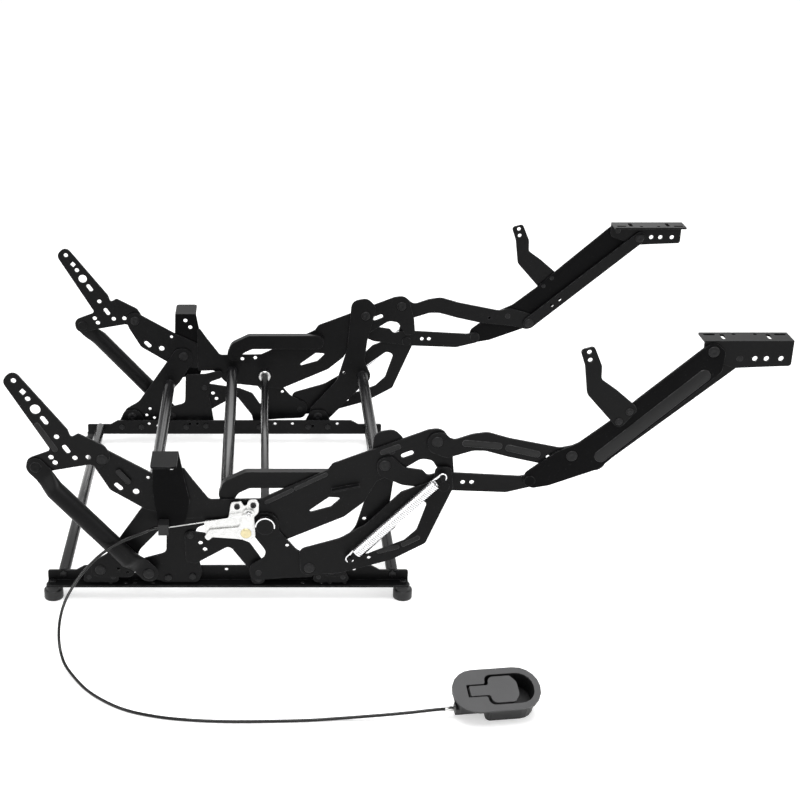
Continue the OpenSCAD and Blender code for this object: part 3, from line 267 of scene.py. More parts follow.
def remap(tree, value, source=(0.0, 1.0), target=(0.0, 1.0)):
    """Carries a value from one range to another."""
    node = tree.nodes.new("ShaderNodeMapRange")
    labels = ("Value", "From Min", "From Max", "To Min", "To Max")
    for label, number in zip(labels, (value, *source, *target)):
        feed(tree, number, node.inputs[label])
    return node.outputs["Result"]


def combine(tree, operation, first, second):
    node = tree.nodes.new("ShaderNodeMath")
    node.operation = operation
    feed(tree, first, node.inputs[0])
    feed(tree, second, node.inputs[1])
    return node.outputs[0]


def dot_product(tree, first):
    """A dot product node with its first side linked."""
    node = tree.nodes.new("ShaderNodeVectorMath")
    node.operation = "DOT_PRODUCT"
    feed(tree, first, node.inputs[0])
    return node


def new_group(name, inputs, outputs):
    """An empty shader group with its object coordinates, entry and exit."""
    tree = bpy.data.node_groups.new(name, "ShaderNodeTree")
    for label, value in inputs:
        socket = tree.interface.new_socket(label, in_out="INPUT", socket_type="NodeSocketFloat")
        socket.default_value = value
    for label in outputs:
        tree.interface.new_socket(label, in_out="OUTPUT", socket_type="NodeSocketFloat")
    entry = tree.nodes.new("NodeGroupInput").outputs
    leave = tree.nodes.new("NodeGroupOutput").inputs
    return tree, object_coords(tree), entry, leave


def coat_group():
    """Orange peel height, slow mottling and fine specks of a sprayed coat."""
    tree, coords, entry, leave = new_group("Sprayed coat", [("Peel scale", 900.0), ("Mottle scale", 14.0)],
                                           ["Height", "Mottle", "Specks"])
    feed(tree, noise(tree, coords, entry["Peel scale"], detail=2.0), leave["Height"])
    feed(tree, noise(tree, coords, entry["Mottle scale"], detail=5.0, rough=0.6), leave["Mottle"])
    feed(tree, remap(tree, noise(tree, coords, 420.0, detail=1.0), source=(0.68, 0.76)), leave["Specks"])
    return tree


def edge_wear_and_highlight_group():
    """Where the surface turns sharply: the edges show thin coat and a painted highlight."""
    tree, coords, entry, leave = new_group("Edge wear and painted highlight", [("Breakup scale", 160.0)], ["Edge"])
    soft = tree.nodes.new("ShaderNodeBevel")
    soft.samples = 4
    soft.inputs["Radius"].default_value = 0.0015
    plain = tree.nodes.new("ShaderNodeNewGeometry")
    facing = dot_product(tree, soft.outputs["Normal"])
    feed(tree, plain.outputs["Normal"], facing.inputs[1])
    turned = remap(tree, facing.outputs["Value"], source=(0.985, 0.80))
    broken = remap(tree, noise(tree, coords, entry["Breakup scale"], detail=4.0), source=(0.35, 0.65))
    feed(tree, combine(tree, "MULTIPLY", turned, broken), leave["Edge"])
    return tree


def spangle_group():
    """Crystal spangle and drawn streaks of plated metal."""
    tree, coords, entry, leave = new_group("Plated spangle", [("Cell scale", 220.0)], ["Spangle", "Streak"])
    grey = tree.nodes.new("ShaderNodeSeparateColor")
    feed(tree, cells(tree, coords, entry["Cell scale"]).outputs["Color"], grey.inputs[0])
    feed(tree, grey.outputs[0], leave["Spangle"])
    stretch = tree.nodes.new("ShaderNodeMapping")
    stretch.inputs["Scale"].default_value = (30.0, 1.0, 400.0)
    feed(tree, coords, stretch.inputs["Vector"])
    feed(tree, noise(tree, stretch.outputs["Vector"], 3.0, detail=4.0), leave["Streak"])
    return tree


def grain_group():
    """Fine moulded grain of plastic."""
    tree, coords, entry, leave = new_group("Moulded grain", [("Grain scale", 1100.0)], ["Height", "Mottle"])
    feed(tree, cells(tree, coords, entry["Grain scale"], "SMOOTH_F1").outputs["Distance"], leave["Height"])
    feed(tree, noise(tree, coords, 30.0, detail=4.0), leave["Mottle"])
    return tree


class Finish:
    """A material under construction: its tree, its shader and the groups it places."""

    def __init__(self, name):
        self.material = bpy.data.materials.new(name)
        self.material.use_nodes = True
        self.tree = self.material.node_tree
        self.shader = self.tree.nodes["Principled BSDF"]

    def group(self, tree, **values):
        """Places a shader group and gives its outputs."""
        node = self.tree.nodes.new("ShaderNodeGroup")
        node.node_tree = tree
        for label, value in values.items():
            node.inputs[label.replace("_", " ")].default_value = value
        return node.outputs

    def mix(self, factor, first, second):
        node = self.tree.nodes.new("ShaderNodeMix")
        node.data_type = "RGBA"
        feed(self.tree, factor, node.inputs["Factor"])
        for label, value in (("A", first), ("B", second)):
            feed(self.tree, value, next(s for s in node.inputs if s.name == label and s.type == "RGBA"))
        return next(s for s in node.outputs if s.type == "RGBA")

    def near_face(self, matrix, depth):
        """One at the face that a matrix looks out of along Z, none at a depth below it."""
        normal = matrix.to_3x3().col[2]
        face = normal.dot(matrix.translation)
        along = dot_product(self.tree, object_coords(self.tree))
        along.inputs[1].default_value = normal
        return remap(self.tree, along.outputs["Value"], source=(face - depth, face - depth / 2))

    def bump(self, height, distance, strength):
        node = self.tree.nodes.new("ShaderNodeBump")
        node.inputs["Distance"].default_value = distance
        node.inputs["Strength"].default_value = strength
        feed(self.tree, height, node.inputs["Height"])
        self.set("Normal", node.outputs["Normal"])

    def set(self, label, value):
        feed(self.tree, value, self.shader.inputs[label])


def lighter(colour, amount):
    return [min(1.0, channel + amount) for channel in colour]


def darker(colour, share):
    return [share * channel for channel in colour]


def coated_finish(name, colour, roughness, peel, strength, gloss, groups):
    """A sprayed coat, mottled and specked, lighter along its edges for thin coat and a painted highlight."""
    made = Finish(name)
    coat = made.group(groups["coat"], Peel_scale=peel)
    edge = made.group(groups["edge"])
    mottled = made.mix(coat["Mottle"], darker(colour, 0.7), lighter(colour, 0.003))
    specked = made.mix(coat["Specks"], mottled, lighter(colour, 0.008))
    # Edges take the lighter colour: worn coat and a painted highlight
    made.set("Base Color", made.mix(edge["Edge"], specked, colours().worn_edge_and_highlight))
    made.set("Roughness", remap(made.tree, coat["Mottle"], target=roughness))
    made.set("Specular IOR Level", gloss)
    made.bump(coat["Height"], distance=0.0002, strength=strength)
    return made.material


def plated_finish(name, colour, roughness, cell, groups):
    """Bright plated metal with spangle and fine streaks."""
    made = Finish(name)
    plating = made.group(groups["spangle"], Cell_scale=cell)
    made.set("Base Color", made.mix(plating["Spangle"], darker(colour, 0.9), colour))
    made.set("Roughness", remap(made.tree, plating["Streak"], target=roughness))
    made.set("Metallic", 1.0)
    made.bump(plating["Streak"], distance=0.0001, strength=0.04)
    return made.material


def moulded_finish(name, colour, roughness, grain, strength, groups, lift=0.008, face=None):
    """Grained plastic. Where a face is given, only its outer two millimetres have the colour, and below them the
    black plastic colour is painted shade.
    """
    made = Finish(name)
    moulded = made.group(groups["grain"], Grain_scale=grain)
    tone = made.mix(moulded["Mottle"], darker(colour, 0.75), lighter(colour, lift))
    # Painted shade: below the face the housing turns to the black plastic colour, so its recess and lower body
    # read as shaded
    if face:
        tone = made.mix(made.near_face(face, depth=0.002), colours().plastic, tone)
    made.set("Base Color", tone)
    made.set("Roughness", remap(made.tree, moulded["Mottle"], target=roughness))
    made.set("Specular IOR Level", 0.3)
    made.bump(moulded["Height"], distance=0.0002, strength=strength)
    return made.material


FINISH = {}
# Pieces whose coat looks blacker than the rest
DEEP_BLACK = ("main_footrest_link", "arm_brackets")
# Pieces of the handle and their finishes
HANDLE_FINISH = {"handle_housing": "handle_body_painted_shade", "handle_lever": "handle_plastic"}


def make_finishes():
    groups = {"coat": coat_group(), "edge": edge_wear_and_highlight_group(), "spangle": spangle_group(),
              "grain": grain_group()}
    tone = colours()
    # Colour, roughness, scale of the orange peel, strength of its bump and gloss
    coated = {
        "powder_coat": (tone.coat, (0.32, 0.46), 900.0, 0.25, 0.11),
        "deep_coat": (tone.coat, (0.32, 0.46), 900.0, 0.25, 0.035),
        "pressed_coat": (tone.coat, (0.28, 0.4), 900.0, 0.2, 0.26),
        "tube_coat": (tone.tube, (0.18, 0.3), 700.0, 0.1, 0.5),
        "blackened_steel": (tone.pin, (0.28, 0.4), 1200.0, 0.2, 0.2),
    }
    # Colour, roughness and scale of the spangle
    plated = {
        "zinc_plate": (tone.zinc, (0.2, 0.36), 220.0),
        "yellow_zinc": (tone.passivated, (0.22, 0.36), 260.0),
        "spring_steel": (tone.spring, (0.16, 0.3), 600.0),
    }
    # Colour, roughness, scale of the grain and strength of its bump
    moulded = {
        "black_plastic": (tone.plastic, (0.36, 0.52), 1100.0, 0.22),
        "handle_plastic": (tone.handle, (0.4, 0.55), 1300.0, 0.2),
        "handle_body_painted_shade": (tone.handle, (0.4, 0.55), 1300.0, 0.2),
        "cable_skin": (tone.cable, (0.16, 0.24), 1500.0, 0.06),
    }
    special = {"handle_body_painted_shade": {"face": handle_matrix()}, "cable_skin": {"lift": 0.002}}
    for name, row in coated.items():
        FINISH[name] = coated_finish(name, *row, groups)
    for name, row in plated.items():
        FINISH[name] = plated_finish(name, *row, groups)
    for name, row in moulded.items():
        FINISH[name] = moulded_finish(name, *row, groups, **special.get(name, {}))


# Modelling helpers

def add_piece(name, bm, body, slot, replaces=(), sharp=35.0, finish=None):
    """Turns a finished bmesh into a piece that rides on a body."""
    mesh = bpy.data.meshes.new(name)
    bm.to_mesh(mesh)
    bm.free()
    return add_mesh_piece(name, mesh, body, slot, replaces, sharp, finish)


def add_mesh_piece(name, mesh, body, slot, replaces=(), sharp=35.0, finish=None):
    piece = bpy.data.objects.new(name, mesh)
    bpy.context.scene.collection.objects.link(piece)
    mesh.polygons.foreach_set("use_smooth", [True] * len(mesh.polygons))
    mesh.set_sharp_from_angle(angle=radians(sharp))
    mesh.materials.append(FINISH[finish or slot])
    if body:
        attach(piece, body)
    if replaces:
        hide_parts(*replaces)
    return piece


def metres(rows):
    """Rows of millimetres in metres."""
    return [tuple(value * MM for value in row) for row in rows]


def shift(x, y, z):
    return Matrix.Translation((x, y, z))


def outward(point, y, side):
    """Matrix whose Z axis runs out of a side, from a point of the side view at distance y."""
    return shift(point.x, side * y, point.z) @ Matrix.Rotation(-side * pi / 2, 4, "X")


def local_turn(angle, side):
    """Turn about the outward axis that lays X along a direction of the side view."""
    return Matrix.Rotation(angle if side < 0 else -angle, 4, "Z")


def newest(bm, known):
    return [vert for vert in bm.verts if vert not in known]


def settle(bm, known, matrix):
    """Closes the seams of the newest vertices, turns their faces outward and lays them on a matrix."""
    bmesh.ops.remove_doubles(bm, verts=newest(bm, known), dist=1e-6)
    made = newest(bm, known)
    bmesh.ops.recalc_face_normals(bm, faces=list({face for vert in made for face in vert.link_faces}))
    bmesh.ops.transform(bm, matrix=matrix, verts=made)


def outline(bm, profile, closed):
    """The vertices and edges of a profile of (radius, height)."""
    verts = [bm.verts.new((radius, 0, height)) for radius, height in profile]
    following = verts[1:] + verts[:1] if closed else verts[1:]
    return verts, [bm.edges.new(pair) for pair in zip(verts, following)]


def turn(bm, profile, matrix, closed=False):
    """Spins a profile of (radius, height) round the matrix's Z axis."""
    known = set(bm.verts)
    verts, edges = outline(bm, profile, closed)
    bmesh.ops.spin(bm, geom=verts + edges, cent=(0, 0, 0), axis=(0, 0, 1), angle=2 * pi,
                   steps=sizes().segments, use_merge=True)
    settle(bm, known, matrix)


def sleeve(bore, radius, length, chamfer):
    """Profile of a turned bar or sleeve with broken outer corners."""
    return [(bore, 0), (radius - chamfer, 0), (radius, chamfer), (radius, length - chamfer),
            (radius - chamfer, length), (bore, length)]


def dome(radius):
    """Half profile of a rivet head from its rim to its dimpled middle."""
    shape = [(1.0, 0.0), (1.0, 0.18), (0.95, 0.5), (0.82, 0.8), (0.6, 0.96), (0.38, 1.0), (0.3, 0.86),
             (0.0, 0.8)]
    return [(radius * r, sizes().head_height * h) for r, h in shape]


def downward(profile):
    """The same end of a pin, looking down."""
    return [(radius, -height) for radius, height in reversed(profile)]


def pin_end(headed, radius, shank):
    """Half profile of a pin's end: a domed head, or a flush end a little below the plate's face."""
    crown = 0.0002
    if headed:
        return [(shank, 0)] + dome(radius)
    return [(shank, -2 * crown), (0.8 * shank, -crown), (0, -crown)]


def add_pin(bm, point, side, first, last, inner_head, outer_head, radius=None, shank=None):
    """A rivet from the plate of one level to that of another."""
    radius = radius or sizes().head_radius
    shank = shank or sizes().pin_radius
    start = inner_y(first) - (CLEAR if inner_head else 0)
    length = outer_y(last) + (CLEAR if outer_head else 0) - start
    upper = [(r, length + h) for r, h in pin_end(outer_head, radius, shank)]
    turn(bm, downward(pin_end(inner_head, radius, shank)) + upper, outward(point, start, side))


def add_hexagon(bm, matrix):
    """A hexagon head with broken corners, sitting on the matrix's XY plane."""
    known = set(bm.verts)
    radius, height = sizes().small_head, sizes().bolt_height
    bmesh.ops.create_cone(bm, cap_ends=True, segments=6, radius1=radius, radius2=radius, depth=height)
    made = newest(bm, known)
    top = [edge for edge in bm.edges if all(vert in made and vert.co.z > 0 for vert in edge.verts)]
    bmesh.ops.bevel(bm, geom=top, offset=0.0006, offset_type="OFFSET", segments=2, profile=0.5,
                    affect="EDGES", material=-1)
    bmesh.ops.transform(bm, matrix=matrix @ shift(0, 0, height / 2), verts=newest(bm, known))


def rim(ring):
    """The edges that run round a ring of vertices."""
    members = set(ring)
    return list({edge for vert in ring for edge in vert.link_edges if members.issuperset(edge.verts)})


def skin(bm, rings):
    """Walls between neighbouring rings and a cap on the first and the last."""
    for first, second in zip(rings, rings[1:]):
        bmesh.ops.bridge_loops(bm, edges=rim(first) + rim(second))
    for ring in (rings[0], rings[-1]):
        bmesh.ops.contextual_create(bm, geom=rim(ring))


def add_panel(bm, start, end, half_width, height, y, side):
    """A pressed panel: a round ended plateau with sloping sides, sunk a little into a plate's face."""
    known = set(bm.verts)
    run = end - start
    steps = 32
    slope = min(1.3 * height, 0.4 * half_width)
    half_step = Matrix.Rotation(pi / steps, 3, "Z")
    rings = []
    for inset, rise in ((0.0, -0.1), (0.0, 0.1), (0.3, 0.5), (0.65, 0.85), (1.0, 1.0)):
        radius = half_width - inset * slope
        made = bmesh.ops.create_circle(bm, cap_ends=False, segments=steps, radius=radius)["verts"]
        bmesh.ops.rotate(bm, cent=(0, 0, 0), matrix=half_step, verts=made)
        bmesh.ops.translate(bm, vec=(0, 0, rise * height), verts=made)
        bmesh.ops.translate(bm, vec=(run.length, 0, 0), verts=[vert for vert in made if vert.co.x > 0])
        rings.append(made)
    skin(bm, rings)
    lie = outward(start, y, side) @ local_turn(atan2(run.z, run.x), side)
    bmesh.ops.transform(bm, matrix=lie, verts=newest(bm, known))


def curve_mesh(name, points, radius, sides):
    """A mesh tube with closed ends along points, made from a curve."""
    curve = bpy.data.curves.new(name, "CURVE")
    curve.dimensions = "3D"
    curve.bevel_depth = radius
    curve.bevel_resolution = sides
    curve.use_fill_caps = True
    spline = curve.splines.new("POLY")
    spline.points.add(len(points) - 1)
    for target, point in zip(spline.points, points):
        target.co = (*point, 1.0)
    carrier = bpy.data.objects.new(name + "_line", curve)
    bpy.context.scene.collection.objects.link(carrier)
    bpy.context.view_layer.update()
    mesh = bpy.data.meshes.new_from_object(carrier.evaluated_get(bpy.context.evaluated_depsgraph_get()))
    bpy.data.objects.remove(carrier)
    bpy.data.curves.remove(curve)
    mesh.name = name
    return mesh


def flowing(points, steps):
    """Points of a smooth curve through the given ones."""
    made = []
    for i in range(len(points) - 1):
        a = points[max(i - 1, 0)]
        b, c = points[i], points[i + 1]
        d = points[min(i + 2, len(points) - 1)]
        for k in range(steps):
            t = k / steps
            made.append(0.5 * (2 * b + (c - a) * t + (2 * a - 5 * b + 4 * c - d) * t * t
                               + (3 * b - a - 3 * c + d) * t * t * t))
    return made + [points[-1]]


def handle_matrix():
    place = release()
    return (Matrix.Translation(place.handle_place) @ Matrix.Rotation(place.handle_yaw, 4, "Z")
            @ Matrix.Rotation(place.handle_tilt, 4, "X"))


# Operators

class RECLINER_OT_stage(bpy.types.Operator):
    """Set up the camera, the pale floor and the softboxes"""

    bl_idname = "recliner.stage"
    bl_label = "Stage"

    def execute(self, context):
        stage = context.scene.stage_settings
        context.scene.view_settings.view_transform = "Standard"
        self.camera(context, stage)
        self.floor(context, stage)
        self.world(context, stage)
        # Place, aim, size and power
        boxes = {
            "softbox_top": ((0.2, -0.9, 2.3), (0.2, -0.1, 0.1), 1.3, stage.key_power),
            "softbox_left": ((-2.4, -1.2, 1.6), (0.0, 0.0, 0.2), 1.8, stage.fill_power),
            "softbox_right": ((2.6, -1.0, 1.5), (0.2, 0.0, 0.2), 1.6, stage.fill_power * 0.8),
            "softbox_back": ((0.4, 2.6, 1.7), (0.2, 0.0, 0.2), 2.0, stage.fill_power),
        }
        for name, row in boxes.items():
            self.softbox(context, name, *row)
        return {"FINISHED"}

    def camera(self, context, stage):
        camera = bpy.data.cameras.new("photo_camera")
        camera.sensor_width = 36.0
        camera.lens = stage.camera_lens
        camera.shift_x = stage.camera_shift
        camera.clip_end = 50.0
        holder = bpy.data.objects.new("photo_camera", camera)
        holder.location = stage.camera_place
        holder.rotation_euler = (pi / 2 - stage.camera_pitch, 0, 0)
        context.scene.collection.objects.link(holder)
        context.scene.camera = holder

    def floor(self, context, stage):
        bm = bmesh.new()
        bmesh.ops.create_grid(bm, x_segments=2, y_segments=2, size=9.0)
        mesh = bpy.data.meshes.new("floor")
        bm.to_mesh(mesh)
        bm.free()
        floor = bpy.data.objects.new("floor", mesh)
        context.scene.collection.objects.link(floor)
        made = Finish("floor_paper")
        made.set("Base Color", stage.floor_colour)
        made.set("Roughness", 0.7)
        made.set("Specular IOR Level", 0.1)
        tree = made.tree
        glow = tree.nodes.new("ShaderNodeEmission")
        strength = combine(tree, "MULTIPLY", self.seen_rays(tree), stage.floor_glow)
        feed(tree, strength, glow.inputs["Strength"])
        both = tree.nodes.new("ShaderNodeAddShader")
        feed(tree, made.shader.outputs[0], both.inputs[0])
        feed(tree, glow.outputs[0], both.inputs[1])
        feed(tree, both.outputs[0], tree.nodes["Material Output"].inputs["Surface"])
        mesh.materials.append(made.material)

    def seen_rays(self, tree):
        """One for camera, glossy and transmission rays."""
        path = tree.nodes.new("ShaderNodeLightPath").outputs
        seen = combine(tree, "MAXIMUM", path["Is Camera Ray"], path["Is Glossy Ray"])
        return combine(tree, "MAXIMUM", seen, path["Is Transmission Ray"])

    def world(self, context, stage):
        world = bpy.data.worlds.new("pale_room")
        world.use_nodes = True
        tree = world.node_tree
        back = tree.nodes["Background"]
        back.inputs["Color"].default_value = (1, 1, 1, 1)
        strength = remap(tree, self.seen_rays(tree), target=(stage.world_strength, 1.0))
        feed(tree, strength, back.inputs["Strength"])
        context.scene.world = world

    def softbox(self, context, name, place, aim, size, power):
        lamp = bpy.data.lights.new(name, "AREA")
        lamp.size = size
        lamp.energy = power
        holder = bpy.data.objects.new(name, lamp)
        holder.location = place
        holder.rotation_euler = (Vector(aim) - Vector(place)).to_track_quat("-Z", "Y").to_euler()
        context.scene.collection.objects.link(holder)


class RECLINER_OT_cable(bpy.types.Operator):
    """Lay the release cable from its clamp over the floor to the handle"""

    bl_idname = "recliner.cable"
    bl_label = "Cable"

    def execute(self, context):
        diameter = release().cable
        start = Vector(CABLE_START)
        handle = handle_matrix()
        points = [start, start - Vector((CABLE_STRAIGHT, 0, 0))] + [Vector(p) for p in CABLE_ROUTE]
        points += [handle @ (HANDLE_PORT - Vector((run, 0, 0))) for run in (CABLE_STRAIGHT, CLEAR)]
        path = flowing(points, steps=10)
        mesh = curve_mesh("cable_sheath_skin", path, diameter / 2, sides=4)
        cable = add_mesh_piece("cable_sheath_skin", mesh, None, "cable_skin", ["cable_sheath"])
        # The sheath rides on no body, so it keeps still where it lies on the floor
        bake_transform(cable)
        self.inner_wire()
        return {"FINISHED"}

    def inner_wire(self):
        """The bare wire from the clamp to the loop on the pawl."""
        size = release()
        clamp = Vector(CABLE_START) + Vector((CLEAR, 0, 0))
        run = Vector((WIRE_PIN.x, clamp.y, WIRE_PIN.z)) - clamp
        reach = run * (1 - (size.wire_loop - size.inner_wire + CLEAR) / run.length)
        steps, still, pulled = 12, 5, 11
        points = [clamp + reach * (step / steps) for step in range(steps + 1)]
        mesh = curve_mesh("inner_wire", points, size.inner_wire, sides=3)
        wire = add_mesh_piece("inner_wire", mesh, None, SLOT_OF["cable_wire"], ["cable_wire"])
        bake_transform(wire)


class RECLINER_OT_springs(bpy.types.Operator):
    """Wind the long assist springs between the posts of the drive links"""

    bl_idname = "recliner.springs"
    bl_label = "Assist springs"

    def execute(self, context):
        run = SPRING_HIGH - SPRING_LOW
        size = release()
        off_plate = 0.0005
        y = outer_y(4) + size.spring_radius + size.spring_wire / 2 + off_plate
        points = self.wire(run.length)
        slope = Matrix.Rotation(-atan2(run.z, run.x), 4, "Y")
        for label, side in SIDES.items():
            seat = shift(SPRING_LOW.x, side * y, SPRING_LOW.z) @ slope
            laid = [seat @ Vector((p.x, side * p.y, p.z)) for p in points]
            name = label + "_assist_spring_wire"
            mesh = curve_mesh(name, laid, size.spring_wire / 2, sides=2)
            add_mesh_piece(name, mesh, "drive", "spring_steel", [label + "_assist_spring"], sharp=60.0)
        return {"FINISHED"}

    def wire(self, span):
        """One unbroken wire: a hook, the curls and the other hook."""
        size = release()
        post, play = 0.003, 0.0003
        hook = post + size.spring_wire / 2 + play
        steps = 14
        pitch = (span - 2 * size.hook_run) / size.spring_curls
        bend = [radians(angle) for angle in range(270, 89, -15)]
        first = [Vector((size.spring_wire, 0, -hook))]
        first += [Vector((hook * cos(angle), 0, hook * sin(angle))) for angle in bend]
        first.append(Vector((0.45 * size.hook_run, 0, hook)))
        coil = []
        for i in range(size.spring_curls * steps + 1):
            angle = 2 * pi * i / steps
            coil.append(Vector((size.hook_run + pitch * i / steps, size.spring_radius * sin(angle),
                                size.spring_radius * cos(angle))))
        last = [Vector((span - p.x, 0, p.z)) for p in reversed(first)]
        return first + coil + last


class RECLINER_OT_plates(bpy.types.Operator):
    """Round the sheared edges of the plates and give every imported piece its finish"""

    bl_idname = "recliner.plates"
    bl_label = "Stamped plates"

    def execute(self, context):
        for node, piece in frame["nodes"].items():
            in_hand = node in HANDLE_FINISH
            finish = HANDLE_FINISH.get(node, "deep_coat" if node.endswith(DEEP_BLACK) else SLOT_OF[node])
            piece.data.materials.clear()
            piece.data.materials.append(FINISH[finish])
            if piece.hide_render:
                continue
            weld = piece.modifiers.new("Join facets", "WELD")
            weld.merge_threshold = 0.00001
            flat = piece.modifiers.new("Plain faces", "DECIMATE")
            flat.decimate_type = "DISSOLVE"
            flat.angle_limit = radians(1.0)
            rounded = piece.modifiers.new("Rounded edges", "BEVEL")
            rounded.width = release().handle_round if in_hand else sizes().edge_round
            rounded.segments = 3 if in_hand else 2
            rounded.limit_method = "ANGLE"
            rounded.angle_limit = radians(40)
            rounded.use_clamp_overlap = True
        return {"FINISHED"}


class RECLINER_OT_ribs(bpy.types.Operator):
    """Press stiffening ribs into the faces of the plates"""

    bl_idname = "recliner.ribs"
    bl_label = "Pressed ribs"

    def execute(self, context):
        # Pivot to measure from, start, end, level of the plate, half width and height, in millimetres
        ribs = {
            "main_footrest": [("main_footrest_turn", (39, 0), (163, 115), 4, 9.0, 1.0)],
            "front_footrest": [("footrest_fold", (38, -2), (82, -6), 3, 5.0, 0.45),
                               ("footrest_fold", (96, -9), (134, -18), 3, 5.0, 0.45)],
            "seat": [("crank_turn", (2, 32), (36, 50), 2, 3.0, 0.45),
                     ("crank_turn", (42, 53), (82, 74), 2, 3.0, 0.45),
                     ("footrest_fold", (-72, -17), (-52, -9), 2, 4.0, 0.45)],
            "back": [("back_tip", (22, -19), (34, -33), 3, 4.0, 0.8),
                     ("back_tip", (-62, 15), (-84, 50), 3, 4.0, 0.45)],
            "drive": [("drive_turn", (96, 26), (120, 33), 4, 3.5, 0.8),
                      ("drive_turn", (129, 37), (148, 47), 4, 3.5, 0.8)],
        }
        for body, rows in ribs.items():
            bm = bmesh.new()
            for joint, start, end, level, width, height in rows:
                ends = from_pivot(joint, *start), from_pivot(joint, *end)
                for side in SIDES.values():
                    add_panel(bm, *ends, width * MM, height * MM, outer_y(level), side)
            bmesh.ops.recalc_face_normals(bm, faces=bm.faces)
            add_piece(body + "_ribs", bm, body, "powder_coat", sharp=50.0, finish="pressed_coat")
        return {"FINISHED"}


class RECLINER_OT_pins(bpy.types.Operator):
    """Set the domed rivets of all pivots"""

    bl_idname = "recliner.pins"
    bl_label = "Rivets"

    def execute(self, context):
        # Pivot, first and last level of the plates, head on the inner and on the outer face
        sets = {
            "base_pins": [("recline", 0, 1, True, True), ("front_lift_turn", 0, 1, True, True),
                          ("strut_turn", 0, 4, True, True)],
            "seat_pins": [("seat_tilt", 1, 2, True, False), ("back_tip", 2, 3, True, True),
                          ("footrest_fold", 2, 3, True, True), ("rear_footrest_turn", 2, 3, False, True),
                          (FRONT_SEAT, 1, 2, True, False)],
            "crank_pins": [("drive_turn", 3, 4, False, True), (CRANK_TAIL, 3, 3, False, False)],
            "footrest_link_pins": [("main_footrest_turn", 3, 4, False, True),
                                   ("control_turn", 2, 3, True, False)],
            "bracket_pins": [("footrest_turn", 3, 4, False, True), (CONTROL_END, 2, 3, True, False)],
            "flipper_rivets": [],
        }
        small = {"radius": sizes().small_head, "shank": sizes().small_shank}
        for node, rows in sets.items():
            bm = bmesh.new()
            for side in SIDES.values():
                for where, *row in rows:
                    add_pin(bm, PIVOT[where] if isinstance(where, str) else where, side, *row)
                if node == "base_pins":
                    add_pin(bm, STAY_TOP, side, 0, 1, True, True, **small)
                    self.spacer(bm, side)
                elif node == "flipper_rivets":
                    for point in FLIPPER_RIVETS:
                        add_pin(bm, point, side, 4, 5, False, True, **small)
            add_piece(node + "_domed", bm, BODY_OF[node], "blackened_steel", [node])
        return {"FINISHED"}

    def spacer(self, bm, side):
        """The turned spacer on the long strut pin."""
        low = outer_y(0) + CLEAR
        length = inner_y(4) - CLEAR - low
        profile = sleeve(sizes().pin_radius, sizes().head_radius, length, chamfer=0.0006)
        turn(bm, profile, outward(PIVOT["strut_turn"], low, side), closed=True)


